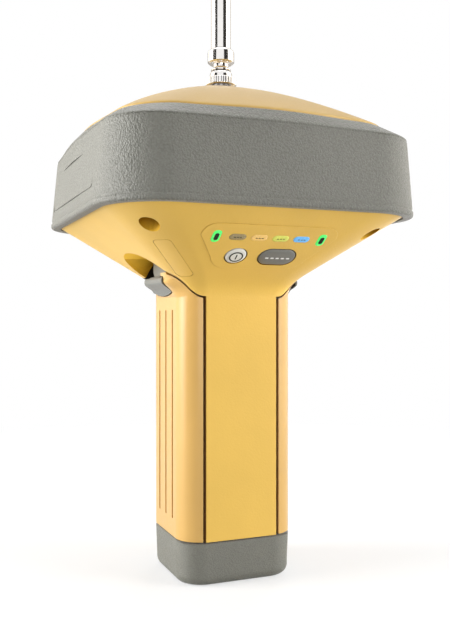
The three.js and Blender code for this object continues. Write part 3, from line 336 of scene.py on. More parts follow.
def turned(name, profile, steps=64, place=None, centre=(0.0, 0.0)):
    """Turns [radius, height] pairs about an upright axis; the profile starts and ends on the axis."""
    place = place or Matrix.Identity(4)
    points = []
    faces = []
    rows = []
    for radius, height in profile:
        if radius < 1e-9:
            rows.append([len(points)])
            points.append(place @ Vector((centre[0], centre[1], height)))
            continue
        row = []
        for i in range(steps):
            angle = TURN * i / steps
            row.append(len(points))
            points.append(place @ Vector((
                centre[0] + radius * math.cos(angle), centre[1] + radius * math.sin(angle), height)))
        rows.append(row)
    for low, high in zip(rows, rows[1:]):
        for i in range(steps):
            k = (i + 1) % steps
            if len(low) == 1 and len(high) == 1:
                continue
            if len(low) == 1:
                faces.append((low[0], high[k], high[i]))
            elif len(high) == 1:
                faces.append((low[i], low[k], high[0]))
            else:
                faces.append((low[i], low[k], high[k], high[i]))
    return from_faces(name, points, faces)


def bake(piece):
    """Replaces a piece's mesh by its evaluated one and drops the modifiers."""
    depsgraph = bpy.context.evaluated_depsgraph_get()
    mesh = bpy.data.meshes.new_from_object(piece.evaluated_get(depsgraph))
    piece.modifiers.clear()
    old = piece.data
    piece.data = mesh
    bpy.data.meshes.remove(old)
    mesh.name = piece.name
    return piece


def carve(piece, cutters, operation="DIFFERENCE"):
    """Cuts or joins with each cutter in turn and removes the cutters."""
    for cutter in cutters:
        boolean = piece.modifiers.new("cut", "BOOLEAN")
        boolean.operation = operation
        boolean.solver = "EXACT"
        boolean.material_mode = "TRANSFER"
        boolean.object = cutter
        bake(piece)
        mesh = cutter.data
        bpy.data.objects.remove(cutter)
        bpy.data.meshes.remove(mesh)
    return piece


def turned_copy(piece, name):
    """A copy of a piece turned half round the handle's axis, as the packs are alike."""
    mesh = piece.data.copy()
    mesh.transform(Matrix.Rotation(math.pi, 4, "Z"))
    return new_piece(name, mesh)


def mirror_copy(piece, name):
    """A copy of a piece mirrored to the other side of the handle."""
    mesh = piece.data.copy()
    mesh.transform(Matrix.Scale(-1, 4, (1, 0, 0)))
    mesh.flip_normals()
    return new_piece(name, mesh)


def soften(piece, width_mm, segments=2, angle=32):
    bevel = piece.modifiers.new("edge", "BEVEL")
    bevel.width = width_mm * MM
    bevel.segments = segments
    bevel.limit_method = "ANGLE"
    bevel.angle_limit = math.radians(angle)
    bevel.use_clamp_overlap = True
    bevel.harden_normals = False
    return bake(piece)


def smooth(piece, angle=32):
    """Smooth shading that lets the large faces set the normals, so that cuts leave them flat."""
    piece.data.shade_smooth()
    piece.data.set_sharp_from_angle(angle=math.radians(angle))
    normals = piece.modifiers.new("normals", "WEIGHTED_NORMAL")
    normals.keep_sharp = True
    return bake(piece)


def wear(piece, *materials):
    piece.data.materials.clear()
    for material in materials:
        piece.data.materials.append(material)
    return piece


def finished(piece, body, node=None):
    """Hands a finished piece to its body and hides the node that it stands for."""
    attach(piece, body)
    if node:
        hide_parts(node)
    return piece


# Materials

class Finish:
    """A node material that is built up step by step on object coordinates."""

    def __init__(self, name):
        self.material = bpy.data.materials.new(name)
        self.material.use_nodes = True
        self.tree = self.material.node_tree
        self.shader = self.tree.nodes["Principled BSDF"]
        self.coords = self.tree.nodes.new("ShaderNodeTexCoord").outputs["Object"]
        self.last_bump = None

    def set(self, **values):
        for key, value in values.items():
            self.shader.inputs[key.replace("_", " ")].default_value = value
        return self

    def link(self, a, b):
        self.tree.links.new(a, b)

    def stretched(self, scale):
        mapping = self.tree.nodes.new("ShaderNodeMapping")
        mapping.inputs["Scale"].default_value = scale
        self.link(self.coords, mapping.inputs["Vector"])
        return mapping.outputs["Vector"]

    def noise(self, size_mm, detail=3.0, vector=None, roughness=0.55):
        node = self.tree.nodes.new("ShaderNodeTexNoise")
        node.inputs["Scale"].default_value = 1 / (size_mm * MM)
        node.inputs["Detail"].default_value = detail
        node.inputs["Roughness"].default_value = roughness
        self.link(vector or self.coords, node.inputs["Vector"])
        return node.outputs["Fac"]

    def cells(self, size_mm, feature="F1", vector=None, randomness=1.0):
        node = self.tree.nodes.new("ShaderNodeTexVoronoi")
        node.feature = feature
        node.inputs["Scale"].default_value = 1 / (size_mm * MM)
        node.inputs["Randomness"].default_value = randomness
        self.link(vector or self.coords, node.inputs["Vector"])
        return node.outputs["Distance"]

    def ramp(self, value, low, high, to_low=0.0, to_high=1.0):
        node = self.tree.nodes.new("ShaderNodeMapRange")
        node.inputs["From Min"].default_value = low
        node.inputs["From Max"].default_value = high
        node.inputs["To Min"].default_value = to_low
        node.inputs["To Max"].default_value = to_high
        self.link(value, node.inputs["Value"])
        return node.outputs["Result"]

    def math(self, operation, a, b):
        node = self.tree.nodes.new("ShaderNodeMath")
        node.operation = operation
        for socket, value in zip(node.inputs, (a, b)):
            if isinstance(value, (int, float)):
                socket.default_value = value
            else:
                self.link(value, socket)
        return node.outputs["Value"]

    def mix(self, amount, a, b):
        node = self.tree.nodes.new("ShaderNodeMix")
        node.data_type = "RGBA"
        self.link(amount, node.inputs["Factor"])
        for key, value in ((6, a), (7, b)):
            if hasattr(value, "is_linked"):
                self.link(value, node.inputs[key])
            else:
                node.inputs[key].default_value = (*value, 1.0)
        return node.outputs[2]

    def painted_crevice_shade(self, reach_mm, low=0.3, high=0.85):
        """Goes from 0 in a recess to 1 on an open face: a mask for painted shade in recesses, corners and
        joints.
        """
        node = self.tree.nodes.new("ShaderNodeAmbientOcclusion")
        node.samples = 8
        node.inputs["Distance"].default_value = reach_mm * MM
        return self.ramp(node.outputs["AO"], low, high)

    def colour(self, value):
        self.link(value, self.shader.inputs["Base Color"])
        return self

    def roughness(self, value):
        self.link(value, self.shader.inputs["Roughness"])
        return self

    def bump(self, height, depth_mm, strength=1.0):
        node = self.tree.nodes.new("ShaderNodeBump")
        node.inputs["Strength"].default_value = strength
        node.inputs["Distance"].default_value = depth_mm * MM
        self.link(height, node.inputs["Height"])
        if self.last_bump is not None:
            self.link(self.last_bump, node.inputs["Normal"])
        self.last_bump = node.outputs["Normal"]
        self.link(self.last_bump, self.shader.inputs["Normal"])
        return self


def shaded(tone, factor):
    return tuple(min(1.0, channel * factor) for channel in tone)


def moulded(name, tone, rough, grain_mm=0.7, depth_mm=0.02, mottle=0.04, coat=0.0, scuff=0.06, shine=0.3,
            sheen=0.12, shade_depths=(0.42, 0.3, 0.05)):
    """Injection-moulded plastic with a fine spark-eroded grain, mottling, a few scuffs and painted shade
    that darkens it in recesses and corners.
    """
    finish = Finish(name)
    grain = finish.noise(grain_mm, 2.0)
    cloud = finish.noise(38.0, 3.0)
    body = finish.mix(finish.ramp(cloud, 0.3, 0.7), shaded(tone, 1 - mottle), shaded(tone, 1 + mottle))
    speck = finish.ramp(finish.noise(1.1, 4.0), 0.68, 0.78, 0.0, 0.35)
    body = finish.mix(speck, body, shaded(tone, 0.86))
    marks = finish.noise(5.5, 5.0, finish.stretched((1.0, 1.0, 0.22)))
    scuffs = finish.ramp(marks, 0.66, 0.74, 0.0, scuff)
    body = finish.mix(scuffs, body, shaded(tone, 1.2))
    # Painted shade: towards recesses, corners and joints the tone falls to the shade_depths share of itself.
    recess_shade_tone = tuple(a * b for a, b in zip(tone, shade_depths))
    finish.colour(finish.mix(finish.painted_crevice_shade(12.0), recess_shade_tone, body))
    finish.roughness(finish.math("ADD", finish.ramp(grain, 0.2, 0.8, rough - 0.05, rough + 0.07), scuffs))
    finish.bump(grain, depth_mm)
    finish.bump(cloud, 0.1, 0.25)
    finish.set(Coat_Weight=coat, Coat_Roughness=0.18, Specular_IOR_Level=shine, Sheen_Weight=sheen,
               Sheen_Roughness=0.45)
    return finish.material


def grained_rubber(name, tone, grain_mm=0.8, depth_mm=0.22):
    """Elastomer with a leather-like grain: raised pebbles between fine creases."""
    finish = Finish(name)
    warp = finish.tree.nodes.new("ShaderNodeTexNoise")
    warp.inputs["Scale"].default_value = 420
    finish.link(finish.coords, warp.inputs["Vector"])
    shift = finish.tree.nodes.new("ShaderNodeVectorMath")
    shift.operation = "MULTIPLY_ADD"
    shift.inputs[1].default_value = (0.0011, 0.0011, 0.0011)
    finish.link(warp.outputs["Color"], shift.inputs[0])
    finish.link(finish.coords, shift.inputs[2])
    pebble = finish.cells(grain_mm, "F1", shift.outputs["Vector"])
    crease = finish.cells(grain_mm * 2.3, "DISTANCE_TO_EDGE", shift.outputs["Vector"])
    fine = finish.noise(0.35, 2.0)
    cloud = finish.noise(30.0, 4.0)
    body = finish.mix(finish.ramp(cloud, 0.3, 0.7), shaded(tone, 0.95), shaded(tone, 1.06))
    body = finish.mix(finish.ramp(pebble, 0.15, 0.75, 0.0, 0.6), body, shaded(tone, 0.66))
    dust = finish.ramp(finish.noise(7.0, 6.0), 0.62, 0.75, 0.0, 0.2)
    body = finish.mix(dust, body, shaded(tone, 1.3))
    finish.colour(body)
    finish.roughness(finish.ramp(pebble, 0.0, 0.8, 0.46, 0.64))
    finish.bump(finish.math("SUBTRACT", 1.0, pebble), depth_mm)
    finish.bump(finish.ramp(crease, 0.0, 0.12), depth_mm * 0.4, 0.4)
    finish.bump(fine, 0.03)
    finish.set(Specular_IOR_Level=0.9, Sheen_Weight=0.3, Sheen_Roughness=0.35)
    return finish.material


def plated(name, tone=(0.93, 0.91, 0.89), rough=0.08):
    """Polished plating with hairline turning marks and smears."""
    finish = Finish(name)
    rings = finish.noise(0.4, 2.0, finish.stretched((0.02, 0.02, 1.0)))
    smear = finish.noise(6.0, 4.0)
    finish.colour(finish.mix(finish.ramp(smear, 0.35, 0.7), tone, shaded(tone, 0.93)))
    finish.roughness(finish.math(
        "ADD", finish.ramp(smear, 0.3, 0.75, rough, rough + 0.04),
        finish.ramp(rings, 0.45, 0.75, 0.0, 0.015)))
    finish.set(Metallic=1.0)
    return finish.material


def machined(name, tone, rough=0.32, ring_mm=0.25):
    """Turned or brushed metal with tool marks and dulled patches."""
    finish = Finish(name)
    marks = finish.noise(ring_mm, 3.0, finish.stretched((0.08, 1.0, 1.0)))
    dull = finish.noise(2.5, 5.0)
    finish.colour(finish.mix(finish.ramp(dull, 0.35, 0.7), tone, shaded(tone, 0.78)))
    finish.roughness(finish.math(
        "ADD", finish.ramp(marks, 0.3, 0.7, rough - 0.06, rough + 0.06),
        finish.ramp(dull, 0.4, 0.8, 0.0, 0.14)))
    finish.bump(marks, 0.01, 0.5)
    finish.set(Metallic=1.0)
    return finish.material


def lens(name, tone, glow):
    """Tinted window over a lamp: cloudy diffuser under a glossy skin, lit from inside."""
    finish = Finish(name)
    cloud = finish.noise(1.6, 3.0)
    body = finish.mix(finish.ramp(cloud, 0.3, 0.7), shaded(tone, 0.94), shaded(tone, 1.05))
    finish.colour(body)
    finish.link(body, finish.shader.inputs["Emission Color"])
    finish.roughness(finish.ramp(finish.noise(0.8, 2.0), 0.3, 0.7, 0.2, 0.3))
    finish.bump(finish.noise(2.2, 2.0), 0.02, 0.4)
    finish.set(Emission_Strength=glow, Coat_Weight=0.4, Coat_Roughness=0.1)
    return finish.material


def silicone(name, tone, rough=0.5, shine=0.5):
    """Silicone rubber key with a fine matte bloom."""
    finish = Finish(name)
    fine = finish.noise(0.25, 2.0)
    bloom = finish.noise(4.0, 4.0)
    body = finish.mix(finish.ramp(bloom, 0.3, 0.7), shaded(tone, 0.95), shaded(tone, 1.06))
    finish.colour(body)
    finish.roughness(finish.ramp(bloom, 0.3, 0.7, rough - 0.06, rough + 0.08))
    finish.bump(fine, 0.012)
    finish.set(Coat_Weight=0.16 * shine, Coat_Roughness=0.35, Specular_IOR_Level=shine)
    return finish.material


def circuit_board(name):
    """Solder mask over faint copper runs."""
    finish = Finish(name)
    runs = finish.tree.nodes.new("ShaderNodeTexBrick")
    runs.inputs["Scale"].default_value = 120
    runs.inputs["Mortar Size"].default_value = 0.08
    finish.link(finish.coords, runs.inputs["Vector"])
    speck = finish.noise(0.9, 3.0)
    body = finish.mix(runs.outputs["Fac"], (0.01, 0.09, 0.03), (0.03, 0.16, 0.06))
    finish.colour(finish.mix(finish.ramp(speck, 0.6, 0.8, 0.0, 0.5), body, (0.12, 0.2, 0.08)))
    finish.roughness(finish.ramp(speck, 0.3, 0.7, 0.35, 0.5))
    finish.bump(runs.outputs["Fac"], 0.03, 0.5)
    return finish.material


class Palette:
    """Every finish of the receiver, made once."""

    def __init__(self, tones):
        self.housing = moulded("satin_yellow_housing", tones.housing, 0.5, grain_mm=0.8, depth_mm=0.07)
        # Painted sheen: the radome takes the housing's tone, less red and green and bluer, standing in for
        # the sheen of light from above.
        pale = tuple(tone * share for tone, share in zip(tones.housing, (0.8, 0.82, 1.3)))
        self.radome = moulded("painted_sheen_radome", pale, 0.42, grain_mm=0.8, depth_mm=0.02)
        self.pack = moulded(
            "gloss_yellow_pack", tones.pack, 0.34, grain_mm=1.4, depth_mm=0.008, mottle=0.03, coat=0.25,
            shine=0.35, sheen=0.3, shade_depths=(0.85, 0.68, 0.2))
        # Painted shade: the recess walls get their own saturated tone, darkened further by the occlusion
        # mask.
        self.recess = moulded(
            "painted_shade_yellow_recess", tones.recess, 0.6, grain_mm=0.8, depth_mm=0.05, shine=0.1, sheen=0.0)
        self.window = moulded(
            "smooth_yellow_window", shaded(tones.housing, 1.05), 0.36, grain_mm=1.0, depth_mm=0.01,
            coat=0.15)
        self.rubber = grained_rubber("leather_grained_rubber", tones.rubber, 0.8, 0.3)
        self.fine_rubber = grained_rubber("fine_grained_rubber", tones.rubber, 0.6, 0.1)
        self.latch = moulded(
            "smooth_grey_latch", tones.latch, 0.42, grain_mm=0.5, depth_mm=0.01, mottle=0.03)
        # Near-black plastic of the cores, contacts and antenna tip; on the latch slot's walls and in the
        # lever hollow it is painted shade.
        self.dark = moulded(
            "dark_plastic_and_painted_shade", (0.028, 0.028, 0.028), 0.55, grain_mm=0.5, depth_mm=0.03, mottle=0.1)
        self.chrome = plated("polished_plating")
        self.steel = machined("turned_steel", (0.5, 0.5, 0.52))
        self.brass = machined("gold_flashed_brass", (0.72, 0.5, 0.16), 0.28)
        self.shield = machined("tinned_shield", (0.55, 0.57, 0.6), 0.25, 0.6)
        self.ceramic = moulded("fired_ceramic", (0.68, 0.63, 0.53), 0.6, grain_mm=0.6, depth_mm=0.02)
        self.board = circuit_board("green_circuit_board")
        self.key_light = silicone("light_power_key", tones.key_light)
        self.key_dark = silicone("dark_function_key", tones.key_dark, 0.46)
        self.print_dark = silicone("dark_printed_mark", tones.print_dark, 0.7, shine=0.08)
        self.print_light = silicone("light_printed_mark", (0.74, 0.74, 0.72))
        self.lamps = [
            lens("green_lamp", tones.lamp_green, 0.35), lens("green_lamp_right", tones.lamp_green, 0.35),
            lens("brown_lamp", tones.lamp_brown, 0.0), lens("tan_lamp", tones.lamp_tan, 0.0),
            lens("lime_lamp", tones.lamp_lime, 0.12), lens("blue_lamp", tones.lamp_blue, 0.12)]


palette = {}


def finishes():
    if "made" not in palette:
        palette["made"] = Palette(bpy.context.scene.receiver_finish)
    return palette["made"]


# Shapes shared by the pieces

def flare(head, z, handle_half):
    """Half width of the outer skin at a height, for a side that starts at handle_half."""
    meet = head.foot + (handle_half - head.foot_width / 2) / head.slope
    if z <= meet - head.fillet:
        return handle_half
    if z < meet + head.fillet:
        part = (z - meet + head.fillet) / (2 * head.fillet)
        return handle_half + head.slope * head.fillet * part * part
    return min(head.foot_width / 2 + head.slope * (z - head.foot), head.rim_width / 2)


def skin_size(head, handle, z):
    half_x = flare(head, z, handle.width / 2)
    half_y = flare(head, z, handle.depth / 2)
    spread = (half_x - handle.width / 2) / (head.rim_width / 2 - handle.width / 2)
    return half_x, half_y, handle.corner + (head.rim_corner - handle.corner) * spread


def outer_skin(name, low, high):
    head, handle = bpy.context.scene.receiver_head, bpy.context.scene.receiver_handle
    start = head.foot - head.fillet - (handle.width - handle.depth) / 2
    fillet = head.fillet * 2 + (handle.width - handle.depth) / 2
    rim = head.foot + (head.rim_width - head.foot_width) / 2 / head.slope
    levels = [low] + [start + fillet * 1.1 * step / 24 for step in range(25)] + [rim, high]
    levels = sorted(z for z in levels if low <= z <= high)
    rings = [ring_at(*skin_size(head, handle, z), z, 18) for z in levels]
    return skin(name, rings)


SEAM_SHARES = ((0, 0), (0.22, 0.07), (0.42, 0.28), (0.6, 0.55), (0.78, 0.78), (1, 1), (1.9, 1.75))


def smooth_line(points, steps=6):
    """Passes a smooth curve through points."""
    line = []
    for i in range(len(points) - 1):
        before = points[max(i - 1, 0)]
        after = points[min(i + 2, len(points) - 1)]
        a, b = points[i], points[i + 1]
        for step in range(steps):
            t = step / steps
            line.append(tuple(
                0.5 * (2 * a[k] + (b[k] - before[k]) * t
                       + (2 * before[k] - 5 * a[k] + 4 * b[k] - after[k]) * t * t
                       + (3 * a[k] - before[k] - 3 * b[k] + after[k]) * t ** 3)
                for k in range(2)))
    line.append(points[-1])
    return line


ALONG_Y = Matrix(((1, 0, 0, 0), (0, 0, -1, 0), (0, 1, 0, 0), (0, 0, 0, 1)))
ALONG_X = Matrix(((0, 0, 1, 0), (1, 0, 0, 0), (0, 1, 0, 0), (0, 0, 0, 1)))


def seam_line(drop):
    """The curved seam between the pack and the funnel on the left side, as (x, z) pairs."""
    handle = bpy.context.scene.receiver_handle
    return smooth_line([
        (-(handle.flange / 2 + run * handle.seam_run), handle.seam_start + rise * handle.seam_rise - drop)
        for run, rise in SEAM_SHARES])


def side_room(name, inset, drop, foot):
    """The room outside the flange edge and under the seam, on the left side."""
    handle, head = bpy.context.scene.receiver_handle, bpy.context.scene.receiver_head
    line = seam_line(drop)
    edge = -(handle.flange / 2 + inset)
    kept = [point for point in line if point[0] < edge - 1e-6]
    points = [(edge, foot), (edge, line[0][1])] + kept + [(line[-1][0], foot)]
    half = head.rim_width / 2
    return prism(name, points, -half, half, ALONG_Y)


def core_room(name, foot, top):
    handle = bpy.context.scene.receiver_handle
    depth = handle.depth / 2 - handle.flange_wall
    near, far = -handle.web / 2, -(handle.flange / 2 + 4 * MM)
    return prism(name, [(near, foot), (far, foot), (far, top), (near, top)], -depth, depth, ALONG_Y)


def arc_points(controls, steps=10):
    """Follows quadratic curves: a start, then (control, end) pairs or a single point for a straight."""
    points = [controls[0]]
    for item in controls[1:]:
        if isinstance(item[0], tuple):
            start = points[-1]
            middle, end = item
            for step in range(1, steps + 1):
                t = step / steps
                points.append(tuple(
                    (1 - t) ** 2 * start[k] + 2 * t * (1 - t) * middle[k] + t * t * end[k]
                    for k in range(2)))
        else:
            points.append(item)
    if max(abs(points[0][k] - points[-1][k]) for k in range(2)) < 1e-9:
        points.pop()
    return points


def pocket_room(name):
    head, handle = bpy.context.scene.receiver_head, bpy.context.scene.receiver_handle
    half, top, round_part = head.pocket_width / 2, head.pocket_top, 10 * MM
    points = arc_points([
        (-half, handle.seam_start), (half, handle.seam_start), (half, top - round_part),
        ((half, top - FIT), (half - round_part * 2, top)),
        ((-half, top - FIT), (-half, top - round_part))])
    return prism(name, points, -head.rim_width / 2, -head.pocket_floor, ALONG_X)


def slope_frame(turn):
    """Frame on a sloping face: x across, y up the slope, z out of the face."""
    head = bpy.context.scene.receiver_head
    size = math.hypot(1, head.slope)
    across = Vector((1, 0, 0))
    up = Vector((0, -head.slope / size, 1 / size))
    out = across.cross(up)
    place = Matrix((across, up, out)).transposed().to_4x4()
    place.translation = Vector((0, -head.foot_width / 2, head.foot))
    return Matrix.Rotation(turn, 4, "Z") @ place


def corner_point(z):
    head, handle = bpy.context.scene.receiver_head, bpy.context.scene.receiver_handle
    half_x, half_y, corner = skin_size(head, handle, z)
    inset = corner * (1 - math.sqrt(0.5))
    return Vector((-(half_x - inset), -(half_y - inset), z))


def window_prism(name, shrink, depth):
    low, high = corner_point(148.6 * MM), corner_point(163.6 * MM)
    up = (high - low).normalized()
    across = Vector((1, -1, 0)).normalized()
    out = across.cross(up)
    place = Matrix((across, up, out)).transposed().to_4x4()
    place.translation = (low + high) / 2
    half_width, half_length = 4.6 * MM - shrink, (high - low).length / 2 - shrink
    points = outline(half_width, half_length, 2.4 * MM, 8)
    return prism(name, points, -depth, 4 * MM, place)


def panel_frame():
    """The front slope's frame, moved to the panel's middle."""
    return slope_frame(0) @ Matrix.Translation((bpy.context.scene.receiver_panel.middle, 0, 0))


def panel_outline(grow=0.0):
    panel = bpy.context.scene.receiver_panel
    top, foot = panel.top + grow, panel.foot - grow
    wide, narrow, corner = panel.width / 2 + grow, panel.foot_width / 2 + grow, 8 * MM
    return arc_points([
        (-narrow + corner, foot), (narrow - corner, foot),
        ((narrow, foot), (narrow + corner / 3, foot + corner)), (wide, top - corner),
        ((wide, top), (wide - corner, top)), (-wide + corner, top),
        ((-wide, top), (-wide, top - corner)), (-narrow - corner / 3, foot + corner),
        ((-narrow, foot), (-narrow + corner, foot))])


def lamp_places():
    panel = bpy.context.scene.receiver_panel
    places = [(side * panel.battery_lamp, 4.1 * MM, 8.0 * MM) for side in (-1, 1)]
    places += [((i - 1.5) * panel.lamp_pitch, 8.1 * MM, 4.0 * MM) for i in range(4)]
    return places


def key_places():
    panel = bpy.context.scene.receiver_panel
    return [(panel.power_spot, 10 * MM, 10 * MM), (panel.function_spot, 18.6 * MM, 10.8 * MM)]


def pill(x, y, width, height, grow=0.0, steps=12):
    """Outline with fully rounded ends about a point."""
    half_x, half_y = width / 2 + grow, height / 2 + grow
    return [(px + x, py + y) for px, py in outline(half_x, half_y, min(half_x, half_y) * 0.9999, steps)]


def crowned(name, x, y, width, height, low, high, crown, place, steps=14, levels=6):
    """A key or lens with a domed face: rings that draw in as they rise."""
    rings = []
    for inset, z in [(0.0, low), (0.0, high - crown)]:
        rings.append([(*point, z) for point in pill(x, y, width, height, -inset, steps)])
    reach = min(width, height) / 2
    for level in range(1, levels + 1):
        part = level / levels
        inset = reach * 0.92 * (1 - math.cos(part * math.pi / 2)) ** 1.2
        z = high - crown + crown * math.sin(part * math.pi / 2)
        rings.append([(*point, z) for point in pill(x, y, width, height, -inset, steps)])
    return skin(name, [[place @ Vector(point) for point in ring] for ring in rings])


def control_cuts(front, depth, lamp_gap):
    """Cutters for the lamps and keys, down to a depth under the panel's face."""
    panel = bpy.context.scene.receiver_panel
    places = [(x, panel.lamp_rise, width, height, lamp_gap) for x, width, height in lamp_places()]
    places += [(x, panel.key_rise, width, height, FIT * 2) for x, width, height in key_places()]
    return [prism(f"panel_cut_{i}", pill(*place), -depth, OVERRUN, front)
            for i, place in enumerate(places)]


# Operators

class RECEIVER_OT_housing(bpy.types.Operator):
    """Make the yellow funnel and spine with its bays, pockets and recesses"""
    bl_idname = "receiver.housing"
    bl_label = "Housing"

    def execute(self, context):
        head, handle = context.scene.receiver_head, context.scene.receiver_handle
        made = finishes()
        shell = wear(outer_skin("housing_shell", handle.base + FIT, head.rim_top), made.housing)
        foot = handle.base - OVERRUN
        # The pocket cutter hands its recess material to the pocket walls, as painted shade.
        left = [side_room("side_cut", 0.0, 0.0, foot), core_room("core_cut", foot, handle.seam_start),
                wear(pocket_room("pocket_cut"), made.recess)]
        right = [mirror_copy(cutter, cutter.name + "_right") for cutter in left]
        # The wedge cutter hands its near-black material to the slot walls beside the lever, as painted
        # shade.
        left.append(wear(prism("slot_cut", SLOT_WEDGE, -27 * MM, -8 * MM, ALONG_Y), made.dark))
        right.append(turned_copy(left[-1], "slot_cut_right"))
        front, rear = panel_frame(), slope_frame(math.pi)
        cuts = left + right + control_cuts(front, HOLE_DEPTH, FIT * 2)
        cuts.append(window_prism("window_cut", 0.0, 2.2 * MM + FIT))
        for number, (x, y) in enumerate(CORNERS):
            spot = (x * head.screw_spot, y * head.screw_spot)
            room = turned(f"screw_cut_{number}", SCREW_HOLE, 64, None, spot)
            # The screw hole walls take the recess material, as painted shade.
            cuts.append(wear(room, made.recess))
        for number, x in enumerate((-24, 0, 24)):
            width, height = (13.6, 8.6) if number == 2 else (13.0, 13.0)
            cuts.append(prism(
                f"port_cut_{number}", pill(x * MM, 26 * MM, width * MM, height * MM),
                -8.3 * MM, OVERRUN, rear))
        carve(shell, cuts)
        soften(shell, 0.35, 2, 40)
        smooth(shell, 40)
        finished(shell, "housing", "main_housing")
        return {"FINISHED"}


class RECEIVER_OT_bumper(bpy.types.Operator):
    """Make the grained rubber bumper with its bead, crease and lip"""
    bl_idname = "receiver.bumper"
    bl_label = "Bumper"

    def execute(self, context):
        head = context.scene.receiver_head
        wide, foot = head.bumper_width / 2, head.bumper_foot
        rim = head.rim_width / 2 + FIT
        edge, bead = 1.5 * MM, foot + 3 * MM
        rings = [plain_ring(head, foot, rim), plain_ring(head, foot, wide - edge)]
        rings += curved(
            plain_ring(head, foot, wide - edge), plain_ring(head, foot, wide),
            plain_ring(head, foot + edge, wide), 6)
        for rise, inset in ((-0.8, 0.0), (-0.4, 0.1), (-0.1, 0.42), (0.25, 0.62), (0.7, 0.6), (1.5, 0.42)):
            rings.append(plain_ring(head, bead + rise * MM, wide - inset * MM))
        crease, top = crease_ring(head, head.crease), top_ring(head, head.bumper_top)
        below = between(rings[-1], crease, 0.955)
        rings += [between(rings[-1], below, step / 6) for step in range(1, 7)]
        rings += [crease_ring(head, head.crease - drop * MM, inset * MM)
                  for drop, inset in ((1.5, 0.1), (1.2, 0.26), (0.9, 0.36), (0.6, 0.26), (0.4, 0.08))]
        rings += curved(rings[-1], crease, between(crease, top, 0.16), 6)
        high = between(crease, top, 0.86)
        rings += [between(rings[-1], high, step / 4) for step in range(1, 5)]
        rings += curved(high, top, top_ring(head, head.bumper_top - 0.9 * MM, -0.1 * MM), 5)
        rings += [top_ring(head, head.bumper_top - head.lip, -FIT),
                  plain_ring(head, head.crease, rim - head.lip),
                  plain_ring(head, head.crease - 2.3 * MM, rim)]
        bumper = skin("bumper_rubber", rings, closed=False)
        carve(bumper, [self.name_plate(head)])
        smooth(bumper, 50)
        wear(bumper, finishes().rubber)
        finished(bumper, "housing", "bumper_ring")
        return {"FINISHED"}

    def name_plate(self, head):
        """A thin frame pressed into the left side, round the bare place of a name."""
        half = head.bumper_width / 2
        outer = outline(46 * MM, 9.5 * MM, 3 * MM, 6)
        inner = outline(45.1 * MM, 8.6 * MM, 2.1 * MM, 6)
        lift = lambda points: [(x, y + 194.5 * MM) for x, y in points]
        frame_room = prism("plate_outer", lift(outer), -half - 4 * MM, -half + 1.5 * MM, ALONG_X)
        carve(frame_room, [prism("plate_inner", lift(inner), -half - 8 * MM, -half + 8 * MM, ALONG_X)])
        lean = head.crease_inset / (head.crease - head.bumper_foot)
        frame_room.data.transform(Matrix((
            (1, 0, lean, -lean * 194.5 * MM), (0, 1, 0, 0), (0, 0, 1, 0), (0, 0, 0, 1))))
        return frame_room


class RECEIVER_OT_radome(bpy.types.Operator):
    """Make the yellow domed cover over the receiving element"""
    bl_idname = "receiver.radome"
    bl_label = "Radome"

    def execute(self, context):
        head = context.scene.receiver_head
        foot = head.bumper_top - 0.5 * MM
        edge = head.bumper_width / 2 - head.top_inset - FIT
        corner = head.top_corner - FIT
        rings = [top_ring(head, foot - 6 * MM, 4 * MM), top_ring(head, foot - 1.5 * MM, FIT)]
        rings += [bowed(foot, edge, corner, head.top_bow),
                  bowed(foot + head.crown_wall * 0.7, edge - 0.05 * MM, corner, head.top_bow)]
        steps = 36
        land = head.crown_land / edge
        for step in range(steps + 1):
            part = 1 - 0.004 + (land - 1) * step / steps
            fall = (part ** head.crown_sweep - land ** head.crown_sweep) / (1 - land ** head.crown_sweep)
            rise = head.crown_rise + head.bumper_top - foot - head.crown_wall
            half = edge * part
            rings.append(bowed(
                foot + head.crown_wall + rise * (1 - fall), half, half - (edge - corner) * part * part,
                head.top_bow * part))
        dome = skin("radome_cover", rings)
        smooth(dome, 50)
        wear(dome, finishes().radome)
        finished(dome, "housing", "radome")
        return {"FINISHED"}


